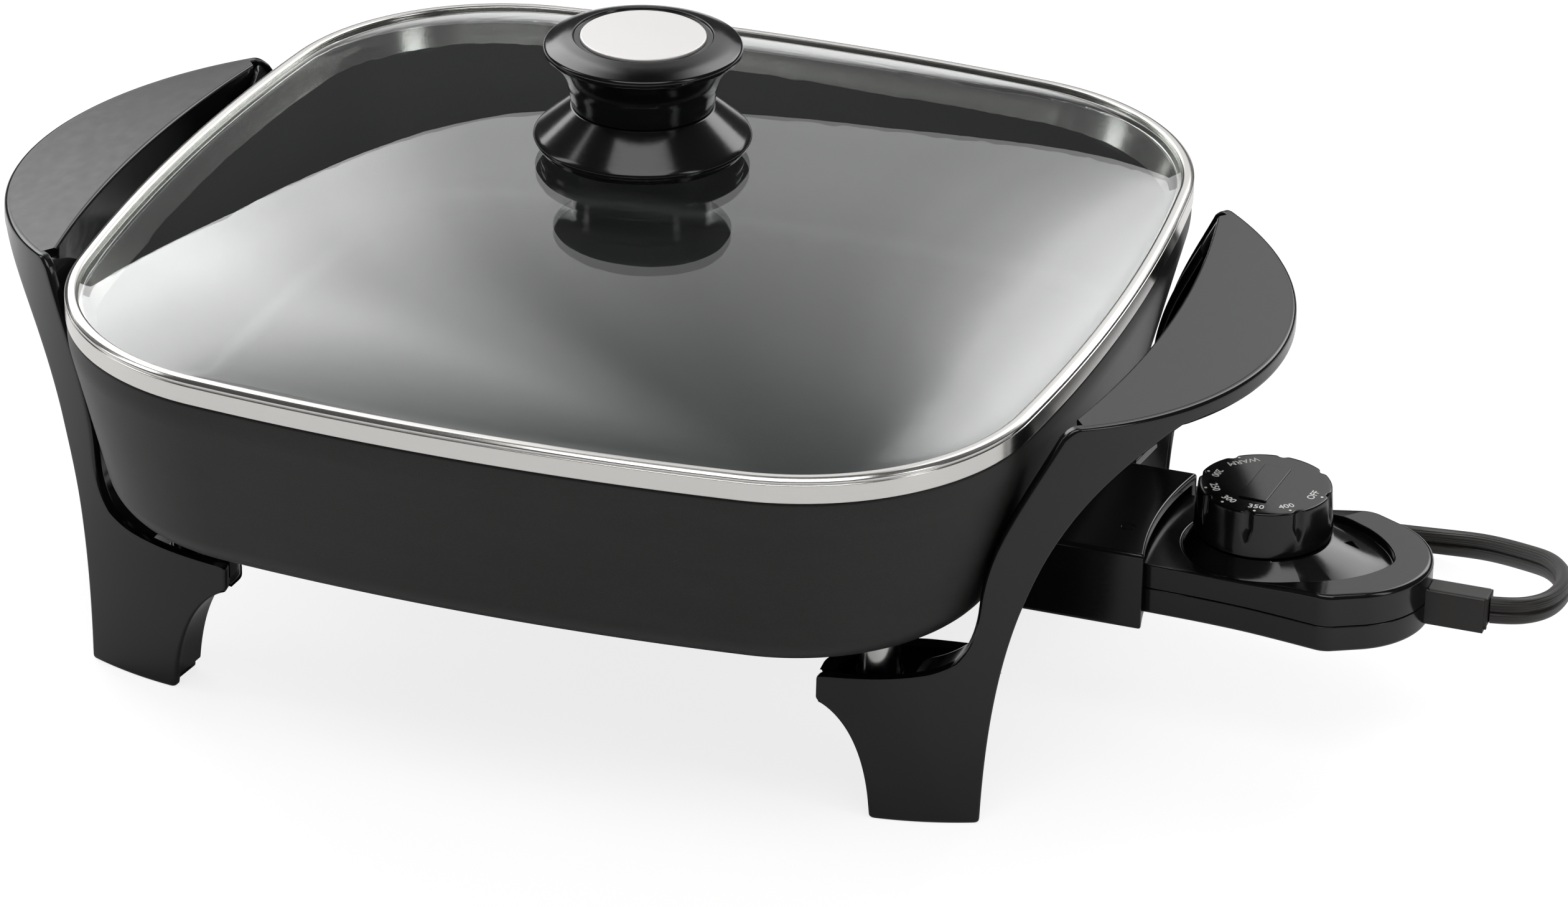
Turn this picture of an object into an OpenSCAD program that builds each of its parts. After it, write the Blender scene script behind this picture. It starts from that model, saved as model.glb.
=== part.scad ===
// Electric skillet: cast pan on two leg-and-grip frames, lift-off glass lid, plug-in heat control.

/* [Vessel] */
// Half width of the lid band across the flats
band_half = 145; // [144:0.5:146]
// Radius of the bowed sides of the rim
side_r = 693; // [680:1:706]
// Radius of the corners of the rim
corner_r = 70; // [68:0.5:72]
// Height of the rim above the counter
rim_z = 113.3; // [113:0.1:114]
// Height of the underside above the counter
base_z = 57; // [56.8:0.1:57.2]
// Thickness of the cast wall
wall = 3.6; // [3.4:0.1:3.8]
// Outer radius of the fillet between wall and floor
floor_fillet = 12; // [11:0.5:13]
// Inner radius of the sensor well
well_r = 3; // [2.9:0.05:3.2]

/* [Lid] */
// Thickness of the glass
glass_t = 4; // [3.5:0.1:4.5]
// Height of the crown of the glass above the counter
crown_z = 144.5; // [143:0.5:146]
// Radius of the knob's heat flange
flange_r = 31.1; // [30:0.1:32]
// Radius of the knob's rim
knob_r = 28.2; // [27.5:0.1:29]
// Height of the top of the knob above the counter
knob_z = 179.2; // [178:0.1:181]

/* [Handles] */
// Distance of the axis of each frame's curved skin from the middle of the pan
skin_x = 93; // [92.5:0.1:93.5]
// Radius of the skin at the counter
skin_r0 = 100.6; // [100.2:0.1:101]
// Radius of the skin at the top of the grip
skin_r1 = 97.2; // [96.8:0.1:97.6]
// Thickness of the moulded skin
skin_t = 3; // [2.6:0.1:3.4]
// Radius of the grip's inner edge
grip_inner_r = 391.5; // [388:0.5:395]
// Reach of the grip's inner edge from the middle of the pan
grip_inner_x = 157.3; // [157:0.1:158]
// Depth of the grip's rim
grip_rim = 5.2; // [4.6:0.1:5.8]
// Depth of the wall under the grip's inner edge
inner_wall = 22; // [19:0.5:24]

/* [Heat control] */
// Radius of the rounded end of the case
case_r = 26; // [25.5:0.1:26.5]
// Distance of the middle of the rounded end from the middle of the pan
case_x = 210; // [209.5:0.1:210.5]
// Distance of the dial's axis from the middle of the pan
dial_x = 187; // [186.6:0.1:187.4]
// Radius of the dial at its top
dial_r = 18.9; // [18.6:0.1:19.1]
// Height of the dial's top above the counter
dial_z = 71.3; // [70:0.1:72]
// Number of flutes round the dial
flutes = 8; // [6:1:12]

/* [Cord] */
// Height of the flat cord's section
cord_h = 8; // [7.5:0.1:8]
// Thickness of the flat cord's section
cord_w = 4.5; // [4:0.1:4.5]
// Middle radius of the outer turn of the coil
coil_r = 46.2; // [46:0.1:47]

/* [Hidden] */
$fn = 96;

// The model's origin is on the counter under the middle of the whole skillet, not of the pan
grip_x = skin_x + skin_r1 + 0.2;
middle_x = (case_x + case_r - grip_x) / 2;

// Rim outline: bowed sides and corners meet at this angle, corners are centred at corner_c
side_a = 45 + asin((band_half - side_r) / (side_r - corner_r) / sqrt(2));
corner_c = (side_r - corner_r) * sin(side_a);

// Vessel section, in half width from the middle and height
rim_half = band_half - 0.4;
rim_t = 3.4;
rim_h = 6;
fillet_z = base_z + floor_fillet;
wall_slope = 13.6;
fillet_half = rim_half - (rim_z - rim_h - fillet_z) * tan(wall_slope)
    - floor_fillet / cos(wall_slope);
inner_fillet = floor_fillet - wall;
well_z = 44;
well_x0 = 64;
well_x1 = 116;

// Lid section
band_t = 0.8;
band_z0 = rim_z + 0.2;
band_z1 = band_z0 + 7.5;
skirt_half = 140.2;
skirt_end = 136.8;
skirt_z = 108.6;
seat_z = 116.2;
glass_edge = band_half - 1.1;
dome_edge = band_half - 4;
dome_rise = 24.6;
glass_rings = 9;
glass_hole = 4.2;
knob_bore = 2.6;
neck_z = 158.2;

// Legs of the handle frames: curves in the plane of the side view
leg_outer = [[134.2, 0], [135, 49], [143, 93], [176, 111.2]];
leg_inner = [[151.5, 118], [143, 100], [133, 85], [132, 66]];
leg_sweep = [[132, 66], [131, 48], [121, 41.5], [104, 41.5]];
leg_under = [[88, 33.7], [93, 32.5], [103, 25], [104.4, 0]];
leg_steps = 10;
channel_r0 = 84.6;
channel_r1 = 85.7;
grip_slope = 0.07;
post_x = 103;
post_y = 88;
post_r = 5.75;
stud_r = 2;
stud_out = 5;
shelf_z0 = 33.7;
shelf_z1 = 41.5;
boss_z = 41;

// Element and its plug pins
element_r = 90;
element_tube = 3.3;
element_z = base_z - element_tube - 0.1;
pin_y = 13;
pin_r = 2.4;
pin_x0 = 104;
pin_x1 = 150;
guard_x0 = 118;
guard_x1 = 160;
guard_half = 27.5;
guard_z0 = 33;
guard_z1 = base_z;
guard_t = 3;
guard_screw = [110, 23.5];

// Heat control
case_x0 = 140;
case_z0 = 36.3;
seam_z = 44.4;
case_z1 = 52;
border_z = 54.2;
recess_z = 51.4;
case_t = 2.2;
recess_r = 22.8;
recess_tip = 15.4;
collar_r = 19.2;
collar_z = 56.9;
screw_places = [[161.5, 18.5], [214, 18]];
probe_r = well_r - 0.05;
sleeve_r = 3.4;
shaft_r = 3;
relief_x0 = case_x + case_r;
relief_x1 = 253.5;
relief_z0 = 38.1;
relief_z1 = 48.9;
relief_w = 8;

// Route of the cord from the strain relief to the coil, then the coil and the plug inside it
cord_route = [[253.5, 0, 44], [257.5, 0.8, 44], [261.5, 3, 43.6], [264.8, 6.8, 43], [267, 12.5, 41.8],
    [268, 20, 40.2], [267.8, 30, 37.9], [265.8, 41, 34.8], [262, 52.5, 31.2], [256.5, 64.5, 27],
    [249, 75.5, 22], [240, 87, 16.8], [230, 97.5, 11.8], [219, 104.8, 7.4], [207, 108.3, 4.9],
    [193, 108.3, 4.1], [176, 106.8, 4.1], [158, 107.2, 4.1], [142, 110, 4.1], [125, 115, 4.1],
    [109, 122.5, 4.1], [95.5, 132.5, 4.1], [86, 145.5, 4.1], [81.5, 161, 4.2], [80.3, 178, 4.4],
    [80.2, 193, 4.6], [80.2, 208, 4.7]];
wire_route = [[157, 13, 44], [163, 13.4, 43], [175, 14, 41.8], [190, 13.6, 41.5], [205, 11.5, 41.5],
    [217, 8, 42], [226, 4.4, 43], [230.3, 3.2, 43.6]];
coil_x = 34;
coil_y = 208;
coil_z = cord_h / 2 + 0.7;
coil_pitch = 4.6;
coil_turns = 2;
tail_r = 18;
tail_a = 130;
plug_l = 28;
plug_w = 24;
plug_h = 11;
blade_l = 17;

// Moves the pan's own axis to its place in the model
module placed() {
    translate([-middle_x, 0, 0]) children();
}

// Point on a cubic curve, and the whole curve moved off to its left by a distance
function curve_point(c, t) = c[0] * pow(1 - t, 3) + 3 * c[1] * pow(1 - t, 2) * t
    + 3 * c[2] * (1 - t) * t * t + c[3] * pow(t, 3);
function curve_way(c, t) = (c[1] - c[0]) * pow(1 - t, 2) + 2 * (c[2] - c[1]) * (1 - t) * t
    + (c[3] - c[2]) * t * t;
function curve(c, off) = [for (i = [0:leg_steps]) let (t = i / leg_steps, w = curve_way(c, t))
    curve_point(c, t) + off * [-w[1], w[0]] / norm(w)];
function arc(cx, cy, r, a0, a1, steps) = [for (i = [0:steps]) let (a = a0 + (a1 - a0) * i / steps)
    [cx + r * cos(a), cy + r * sin(a)]];

// Points of the rim outline pushed to a given half width, a few to each arc
function outline(half) = [for (k = [0:3], p = concat(
        arc(band_half - side_r, 0, half - band_half + side_r, -side_a, side_a, 6),
        arc(corner_c, corner_c, half - band_half + corner_r, side_a, 90 - side_a, 12)))
    [p[0] * cos(90 * k) - p[1] * sin(90 * k), p[0] * sin(90 * k) + p[1] * cos(90 * k)]];

// Triangles between each ring of points and the next; turn joins the last ring to the first
function skin(rings, n, turn) = [for (i = [0:rings - (turn ? 1 : 2)], j = [0:n - 1])
    let (k = (j + 1) % n, a = i * n, b = (i + 1) % rings * n)
    each [[a + j, a + k, b + k], [a + j, b + k, b + j]]];

// A closed section in half width and height, clockwise, carried round the rim outline
module square_ring(section) {
    points = [for (s = section, p = outline(s[0])) [p[0], p[1], s[1]]];
    polyhedron(points, skin(len(section), len(outline(0)), true));
}

// A bowl: its section runs from the inner floor over the rim and down to the underside
module square_bowl(section) {
    n = len(outline(0));
    last = n * (len(section) - 1);
    points = [for (s = section, p = outline(s[0])) [p[0], p[1], s[1]]];
    polyhedron(points, concat([[for (j = [n - 1:-1:0]) j]], skin(len(section), n, false),
        [[for (j = [0:n - 1]) last + j]]));
}

module at_corners(x, y) {
    for (sx = [-1, 1], sy = [-1, 1]) translate([sx * x, sy * y, 0]) children();
}

module pair(y) {
    for (s = [-1, 1]) translate([0, s * y, 0]) children();
}

// Round bar along +X from x0 to x1 at a height
module bar(x0, x1, z, r) {
    translate([x0, 0, z]) rotate([0, 90, 0]) cylinder(h = x1 - x0, r = r);
}

module ring(r0, r1, z0, z1) {
    rotate_extrude() polygon([[r0, z0], [r1, z0], [r1, z1], [r0, z1]]);
}

module vessel() color("#2d2d2d") placed() {
    guard_boss_z = 50;
    difference() {
        union() {
            square_bowl(concat(
                arc(fillet_half, fillet_z, inner_fillet, -90, -wall_slope, 5),
                [[rim_half - rim_t, rim_z - rim_h], [rim_half - rim_t, rim_z], [rim_half, rim_z],
                [rim_half, rim_z - rim_h]],
                arc(fillet_half, fillet_z, floor_fillet, -wall_slope, -90, 6)));
            ring(element_r - 5.5, element_r - 3.5, base_z - 5, base_z + 1);
            ring(element_r + 3.5, element_r + 5.5, base_z - 5, base_z + 1);
            bar(well_x0 - 4, well_x1, well_z, 5.5);
            translate([well_x0 - 4, -4.5, well_z]) cube([well_x1 - well_x0 + 4, 9, base_z + 1 - well_z]);
            pair(guard_screw[1]) translate([guard_screw[0], 0, guard_boss_z])
                cylinder(h = base_z + 1 - guard_boss_z, r = 4);
        }
        bar(well_x0, well_x1 + 1, well_z, well_r);
        pair(pin_y) translate([element_r - 7, -4.4, base_z - 6]) cube([14, 8.8, 6]);
        pair(guard_screw[1]) translate([guard_screw[0], 0, guard_boss_z - 1]) cylinder(h = 8, r = 1.7);
    }
}

module vessel_posts() color("silver") placed() {
    at_corners(post_x, post_y) {
        translate([0, 0, boss_z]) cylinder(h = base_z - boss_z, r = post_r);
        translate([0, 0, shelf_z0 - stud_out]) cylinder(h = boss_z - shelf_z0 + stud_out, r = stud_r);
    }
}

// Solid inside the frame's curved skin, less a depth
module inside_skin(depth) {
    top = 119;
    slope = (skin_r1 - skin_r0) / 118;
    translate([skin_x, 0, -1])
        cylinder(h = top + 1, r1 = skin_r0 - depth - slope, r2 = skin_r0 - depth + slope * top);
}

// Outline in the side view, carried right across the frame
module across(points) {
    rotate([90, 0, 0]) linear_extrude(240, center = true) polygon(points);
}

function grip_top(x) = 118 - grip_slope * (x - 151);

module grip_slab(low, high) {
    x0 = 140;
    x1 = 200;
    across([[x0, grip_top(x0) + low], [x1, grip_top(x1) + low],
        [x1, grip_top(x1) + high], [x0, grip_top(x0) + high]]);
}

module outside_inner_edge(inset) {
    difference() {
        children();
        translate([grip_inner_x - grip_inner_r, 0, 0])
            cylinder(h = 130, r = grip_inner_r + inset, $fn = 360);
    }
}

function shelf_plan(inset) = [[88 + inset, -110], [88 + inset, -89 + inset / 3],
    [92 + inset * 0.8, -81 - inset * 0.6], [99 + inset / 2, -74 - inset * 0.85],
    [108 + inset / 4, -69 - inset], [122, -67 - inset], [145, -66 - inset], [145, -110]];

module handle_frame() {
    under_floor = 3;
    open_side = -6;
    leg = concat(curve(leg_outer, 0), [[176, grip_top(176)], [151.5, 118]],
        curve(leg_inner, 0), curve(leg_sweep, 0), [[88, shelf_z1]], curve(leg_under, 0));
    hollow = concat([for (p = curve(leg_outer, open_side)) if (p[1] > skin_t) p],
        [[190, 114], [190, 122], [156, 122]],
        curve(leg_inner, skin_t), curve(leg_sweep, skin_t), [[99, 44.5], [91, 44.5], [91, 36.7]],
        [for (p = curve(leg_under, skin_t)) if (p[1] > skin_t && p[0] > 92) p],
        [[107.4, skin_t], [134.2 - open_side, skin_t]]);
    difference() {
        union() {
            difference() {
                intersection() {
                    inside_skin(0);
                    across(leg);
                }
                translate([skin_x, 0, -1]) cylinder(h = 122, r1 = channel_r0, r2 = channel_r1);
                intersection() {
                    inside_skin(skin_t);
                    across(hollow);
                }
            }
            intersection() {
                inside_skin(0);
                across(leg);
                union() {
                    shelf();
                    mirror([0, 1, 0]) shelf();
                }
            }
            outside_inner_edge(0) difference() {
                intersection() {
                    inside_skin(0);
                    grip_slab(-grip_rim, 0);
                }
                outside_inner_edge(skin_t) intersection() {
                    inside_skin(skin_t);
                    grip_slab(-grip_rim - 1, -under_floor);
                }
            }
            outside_inner_edge(0) intersection() {
                inside_skin(skin_t / 2);
                grip_slab(-inner_wall, -under_floor / 2);
                translate([grip_inner_x - grip_inner_r, 0, 0])
                    cylinder(h = 130, r = grip_inner_r + skin_t, $fn = 360);
            }
        }
        pair(post_y) translate([post_x, 0, shelf_z0 - 1]) cylinder(h = 20, r = stud_r + 0.2);
        pair(post_y) translate([post_x, 0, boss_z]) cylinder(h = 8, r = post_r + 0.3);
    }
}

// Tray at one leg: floor, low rim and the boss that carries a post
module shelf() {
    difference() {
        translate([0, 0, shelf_z0]) linear_extrude(shelf_z1 - shelf_z0) polygon(shelf_plan(0));
        translate([0, 0, shelf_z0 + skin_t]) linear_extrude(shelf_z1) intersection() {
            polygon(shelf_plan(skin_t));
            translate([skin_x, 0]) circle(r = skin_r0 - skin_t - 1);
        }
    }
    translate([post_x, -post_y, shelf_z0]) cylinder(h = boss_z - shelf_z0, r = 6.85);
    translate([post_x, -post_y, shelf_z0]) rotate(20) translate([0, -1.25, 0])
        cube([30, 2.5, boss_z - shelf_z0 - 2]);
}

module left_handle_frame() color("#1c1c1e") placed() {
    mirror([1, 0, 0]) handle_frame();
}

module right_handle_frame() color("#1c1c1e") placed() {
    handle_frame();
}

module handle_nuts() color("gray") placed() {
    washer_h = 0.8;
    nut_h = 3.2;
    at_corners(post_x, post_y) translate([0, 0, shelf_z0]) difference() {
        union() {
            translate([0, 0, -washer_h]) cylinder(h = washer_h, r = 4.5);
            translate([0, 0, -washer_h - nut_h]) cylinder(h = nut_h, r = 4, $fn = 6);
        }
        translate([0, 0, -10]) cylinder(h = 11, r = stud_r);
    }
}

module heating_element() color("#5a5550") placed() {
    end_a = asin(pin_y / element_r);
    stub_x = element_r * cos(end_a);
    rotate(end_a) rotate_extrude(angle = 360 - 2 * end_a)
        translate([element_r, element_z]) circle(r = element_tube, $fn = 32);
    pair(pin_y) {
        drop = element_z - well_z;
        run = pin_x0 - stub_x;
        translate([stub_x, 0, element_z]) sphere(r = element_tube + 0.05);
        translate([stub_x, 0, element_z]) rotate([0, 90 + atan(drop / run), 0])
            cylinder(h = norm([drop, run]) - 1.2, r = element_tube - 0.1);
    }
}

module terminal_pins() color("silver") placed() {
    pair(pin_y) {
        bar(pin_x0, pin_x1 - 2, well_z, pin_r);
        translate([pin_x1 - 2, 0, well_z]) rotate([0, 90, 0]) cylinder(h = 2, r1 = pin_r, r2 = pin_r - 0.9);
    }
}

module terminal_blocks() color("white") placed() {
    pair(pin_y) difference() {
        union() {
            bar(108, 122, well_z, 5);
            bar(113, guard_x0, well_z, 6);
        }
        bar(100, 130, well_z, pin_r);
    }
}

module probe_guard() color("#1c1c1e") placed() {
    ear_z = 46;
    mouth_r = 115;
    difference() {
        union() {
            translate([guard_x0, -guard_half, guard_z0])
                cube([guard_x1 - guard_x0, 2 * guard_half, guard_z1 - guard_z0]);
            pair(guard_screw[1]) translate([guard_screw[0] - 6, -4, ear_z])
                cube([guard_x0 - guard_screw[0] + 7, 8, 4]);
        }
        translate([guard_x0 + guard_t, -guard_half + guard_t, guard_z0 + guard_t])
            cube([guard_x1 - guard_x0, 2 * (guard_half - guard_t), guard_z1 - guard_z0 - 2 * guard_t]);
        translate([guard_x1 - 3.2 + mouth_r, 0, guard_z0 - 1])
            cylinder(h = guard_z1 - guard_z0 + 2, r = mouth_r, $fn = 180);
        pair(pin_y) bar(guard_x0 - 1, guard_x0 + guard_t + 1, well_z, 5.1);
        bar(guard_x0 - 1, guard_x0 + guard_t + 1, well_z, 4);
        pair(guard_screw[1]) translate([guard_screw[0], 0, ear_z - 1]) cylinder(h = 6, r = 2);
    }
}

module guard_screws() color("gray") placed() {
    pair(guard_screw[1]) translate([guard_screw[0], 0, 0]) {
        translate([0, 0, 43.6]) cylinder(h = 2.4, r = 3.5);
        translate([0, 0, 46]) cylinder(h = 9, r = 1.7);
    }
}

// Height of the glass's upper face at a share of the way from crown to edge
function glass_z(s) = crown_z - dome_rise * (0.72 * s * s + 0.28 * pow(s, 4));

// One level ring of the dome, from a circle near the crown to the rim outline at its edge
function glass_ring(s, down) = [for (p = outline(dome_edge)) let (
        r = norm(p) * s * (1 - 0.5 * pow(1 - s, 2)) + (dome_edge * s - norm(p) * s) * (1 - s))
    [p[0] / norm(p) * r, p[1] / norm(p) * r, glass_z(s) - down]];

// The flat middle of the glass, where the knob is clamped
pad_z = glass_z(1 / glass_rings);

module lid_glass() color([0.75, 0.8, 0.8, 0.4]) placed() {
    n = len(outline(0));
    edge_z = glass_z(1) - 0.2;
    upper = [for (i = [1:glass_rings]) glass_ring(i / glass_rings, 0)];
    edge = [for (down = [0, glass_t]) [for (p = outline(glass_edge)) [p[0], p[1], edge_z - down]]];
    lower = [for (i = [glass_rings:-1:1]) glass_ring(i / glass_rings, glass_t)];
    rings = concat(upper, edge, lower);
    last = n * (len(rings) - 1);
    difference() {
        polyhedron([for (r = rings, p = r) p], concat([[for (j = [n - 1:-1:0]) j]],
            skin(len(rings), n, false), [[for (j = [0:n - 1]) last + j]]));
        translate([0, 0, crown_z - 10]) cylinder(h = 20, r = glass_hole);
    }
}

module lid_band() color("#d8d8d6") placed() {
    seat_under = seat_z - 0.8;
    square_ring([[skirt_half, band_z0], [skirt_end, skirt_z], [skirt_end - band_t, skirt_z],
        [skirt_half - band_t, seat_under], [band_half - band_t, seat_under],
        [band_half - band_t, band_z1 - band_t - 0.1], [band_half - 3.5, band_z1 - band_t],
        [band_half - 3.5, band_z1], [band_half - 0.7, band_z1], [band_half, band_z1 - 0.8],
        [band_half, band_z0]]);
}

module knob_gasket() color("#303030") placed() {
    ring(knob_bore + 2, 14, pad_z, crown_z + 1);
}

module knob_flange() color("#1c1c1e") placed() {
    z = crown_z + 1;
    rotate_extrude() polygon([[knob_bore, z], [12, z], [12, neck_z - 2], [18.8, neck_z - 2],
        [27.6, z + 3.2], [27.6, z], [29.2, z], [29.6, z + 1.9], [flange_r - 0.3, z + 2.1],
        [flange_r, z + 2.6], [flange_r, z + 3.6], [flange_r - 0.6, z + 4.3], [20.4, neck_z],
        [knob_bore, neck_z]]);
}

module knob_grip() color("#1c1c1e") placed() {
    rim_top = knob_z - 3;
    rotate_extrude() polygon(concat([[knob_bore, neck_z], [20.2, neck_z], [21.3, neck_z + 5.4]],
        [for (i = [1:6]) let (t = i / 6)
            [21.3 + (knob_r - 21.3) * pow(t, 1.8), neck_z + 5.4 + (rim_top - neck_z - 7) * t]],
        [[knob_r, rim_top - 0.4], [knob_r - 0.8, rim_top + 0.2], [24, knob_z - 1.1],
        [19.9, knob_z - 0.2], [19.7, knob_z - 0.9], [18.2, knob_z - 0.9], [18.2, knob_z - 1.2],
        [0, knob_z - 1.2], [0, neck_z + 7], [knob_bore, neck_z + 7]]));
}

module knob_badge() color("#d0d0d0") placed() {
    translate([0, 0, knob_z - 1.2]) cylinder(h = 1.2, r = 18);
}

module knob_washer() color("silver") placed() {
    ring(knob_bore, 8, pad_z - glass_t - 1.2, pad_z - glass_t);
}

module knob_screw() color("silver") placed() {
    head_z = pad_z - glass_t - 1.2;
    translate([0, 0, head_z - 3]) cylinder(h = 3, r = 4.5);
    translate([0, 0, head_z]) cylinder(h = 24, r = knob_bore - 0.05);
}

// Points along an arc, from one angle to another
function fan(x, y, r, a, b, n) = [for (i = [0:n]) let (c = a + (b - a) * i / n)
    [x + r * cos(c), y + r * sin(c)]];

// Plan of the case, inset from its outer face: flared sides, tight shoulders and a rounded end
module case_plan(inset) {
    shoulder = [211.5, 19.6, 8 - inset];
    way = atan2(shoulder[1], shoulder[0] - case_x)
        - acos((case_r - 8) / norm([shoulder[0] - case_x, shoulder[1]]));
    half = [for (p = [[case_x0, 22.6], [160, 22.9], [175, 23.3], [183, 23.8], [190, 24.5],
        [197, 25.3], [204, 26.4]]) [p[0] + (p[0] == case_x0 ? inset : 0), p[1] - inset]];
    polygon(concat([for (p = half) [p[0], -p[1]]],
        fan(shoulder[0], -shoulder[1], shoulder[2], -99, -way, 8),
        fan(case_x, 0, case_r - inset, -way, way, 30),
        fan(shoulder[0], shoulder[1], shoulder[2], way, 99, 8),
        [for (i = [len(half) - 1:-1:0]) half[i]]));
}

// Drop-shaped recess round the dial: how far its edge is from the dial's axis in a direction
function recess_edge(a) = recess_r + recess_tip * pow(max(0, 1 - (norm([a, 6]) - 6) / 84), 1.6);

// One level ring between the collar's top, at share 0, and the edge of the recess, at share 1
function recess_ring(t, z) = [for (i = [-36:35]) let (r = collar_r + (recess_edge(5 * i) - collar_r) * t)
    [dial_x + r * cos(5 * i), r * sin(5 * i), z]];

// Collar that rises from the floor of the recess to just under the dial
module dial_collar() {
    rings = concat([for (t = [0, 0.25, 0.5, 0.75, 0.985])
        recess_ring(t, recess_z + (collar_z - recess_z) * pow(1 - t, 1.25))],
        [recess_ring(0.985, recess_z - 0.6)]);
    n = len(rings[0]);
    last = n * (len(rings) - 1);
    polyhedron([for (r = rings, p = r) p], concat([[for (j = [n - 1:-1:0]) j]],
        skin(len(rings), n, false), [[for (j = [0:n - 1]) last + j]]));
}

module control_upper_case() color("#1c1c1e") placed() {
    difference() {
        union() {
            difference() {
                union() {
                    translate([0, 0, seam_z]) linear_extrude(case_z1 - seam_z) case_plan(0);
                    intersection() {
                        translate([0, 0, seam_z]) linear_extrude(20) case_plan(0);
                        translate([0, 40, 0]) rotate([90, 0, 0]) linear_extrude(80) polygon([[180, 51],
                            [180, case_z1], [210, border_z], [240, border_z], [240, 51]]);
                    }
                }
                translate([0, 0, seam_z - 1])
                    linear_extrude(case_z1 - case_t - seam_z + 1) case_plan(case_t);
                translate([0, 0, recess_z]) linear_extrude(10)
                    polygon([for (p = recess_ring(1, 0)) [p[0], p[1]]]);
            }
            for (p = screw_places) pair(p[1]) translate([p[0], 0, seam_z])
                cylinder(h = case_z1 - seam_z - 1.5, r = 3.2);
            dial_collar();
        }
        translate([dial_x, 0, seam_z]) {
            cylinder(h = 20, r = 5);
            cylinder(h = collar_z - 2.2 - seam_z, r1 = 17.5, r2 = 15);
        }
        for (p = screw_places) pair(p[1]) translate([p[0], 0, seam_z - 1]) cylinder(h = 5, r = 1.3);
        case_end_openings();
    }
}

// Holes in the nose for the pins and the probe, and the slot for the strain relief
module case_end_openings() {
    pair(pin_y) bar(case_x0 - 1, case_x0 + 4, well_z, 4);
    bar(case_x0 - 1, case_x0 + 4, well_z, probe_r);
    translate([231, -3, 38.4]) cube([8, 6, 10]);
}

module control_lower_case() color("#1c1c1e") placed() {
    difference() {
        union() {
            difference() {
                translate([0, 0, case_z0]) linear_extrude(seam_z - case_z0) case_plan(0);
                translate([0, 0, case_z0 + case_t]) linear_extrude(20) case_plan(case_t);
            }
            for (p = screw_places) pair(p[1]) translate([p[0], 0, case_z0])
                cylinder(h = seam_z - case_z0, r = 3.2);
        }
        for (p = screw_places) pair(p[1]) translate([p[0], 0, case_z0 - 1]) {
            cylinder(h = 20, r = 1.6);
            cylinder(h = 3, r = 2.8);
        }
        case_end_openings();
    }
}

module case_screws() color("gray") placed() {
    for (p = screw_places) pair(p[1]) translate([p[0], 0, case_z0 + 0.2]) {
        cylinder(h = 1.8, r = 2.6);
        cylinder(h = 11, r = 1.3);
    }
}

module probe_tube() color("silver") placed() {
    difference() {
        bar(well_x0 + 3, 160, well_z, probe_r);
        bar(well_x0 + 5, 161, well_z, probe_r - 0.7);
    }
}

module terminal_plate() color("#b9a27a") placed() {
    difference() {
        translate([144.5, -17.5, case_z0 + 2.4]) cube([3, 35, 11]);
        pair(pin_y) bar(140, 150, well_z, sleeve_r);
        bar(140, 150, well_z, probe_r);
    }
}

module contact_sleeves() color("#b87333") placed() {
    pair(pin_y) difference() {
        bar(142.5, 157, well_z, sleeve_r);
        bar(142, 155, well_z, pin_r + 0.05);
    }
}

module thermostat_bracket() color("silver") placed() {
    floor_z = case_z0 + case_t;
    difference() {
        union() {
            translate([162, -9, floor_z]) cube([36, 18, 1.2]);
            translate([162, -9, floor_z]) cube([1.2, 18, 9]);
        }
        bar(160, 165, well_z, probe_r);
        translate([dial_x, 0, 30]) cylinder(h = 20, r = shaft_r + 0.1);
    }
}

module contact_leaves() color("#b87333") placed() {
    leaf_z = 41.2;
    translate([166, -3, case_z0 + case_t + 1.2]) cube([4, 6, leaf_z - case_z0 - case_t - 1.2]);
    for (z = [leaf_z, leaf_z + 2.4]) translate([166, -3, z]) cube([16.5, 6, 0.4]);
    translate([166, -3, leaf_z + 0.4]) cube([4, 6, 2]);
}

module shaft_bushing() color("#b08d57") placed() {
    translate([dial_x, 0, 0]) ring(shaft_r + 0.05, 5, 47, collar_z);
}

// Tube of points and directions: a flat oval section, upright unless it is turned
function tube_points(path, half_w, half_h, turns) = [for (i = [0:len(path) - 1]) let (
        a = path[max(i - 1, 0)], b = path[min(i + 1, len(path) - 1)],
        way = (b - a) / norm(b - a), side = cross(way, [0, 0, 1]) / norm(cross(way, [0, 0, 1])),
        up = cross(side, way), q = turns[i], s = side * cos(q) + up * sin(q),
        u = up * cos(q) - side * sin(q))
    for (k = [0:7]) path[i] + (s * half_w * cos(22.5 + 45 * k)
        + u * half_h * sin(22.5 + 45 * k)) / cos(22.5)];

module tube(path, half_w, half_h, turns) {
    n = len(path);
    q = [for (i = [0:n - 1]) is_undef(turns) ? 0 : turns[i]];
    polyhedron(tube_points(path, half_w, half_h, q), concat([[for (k = [0:7]) k]],
        [for (i = [0:n - 2], k = [0:7]) let (m = (k + 1) % 8)
            each [[i * 8 + k, i * 8 + 8 + k, i * 8 + 8 + m], [i * 8 + k, i * 8 + 8 + m, i * 8 + m]]],
        [[for (k = [7:-1:0]) (n - 1) * 8 + k]]));
}

module lead_wires() color("#8a8a8a") placed() {
    wire_r = 1;
    for (side = [-1, 1])
        tube([for (p = wire_route) [p[0], side * p[1], p[2]]], wire_r, wire_r);
}

module strain_relief() color("#3a3632") placed() {
    translate([relief_x0, -relief_w / 2, relief_z0])
        cube([relief_x1 - relief_x0, relief_w, relief_z1 - relief_z0]);
    translate([231, -2.9, 38.6]) cube([relief_x0 - 231, 5.8, 9.6]);
    translate([230.5, -5, 39]) cube([1, 10, 8.8]);
}

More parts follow.
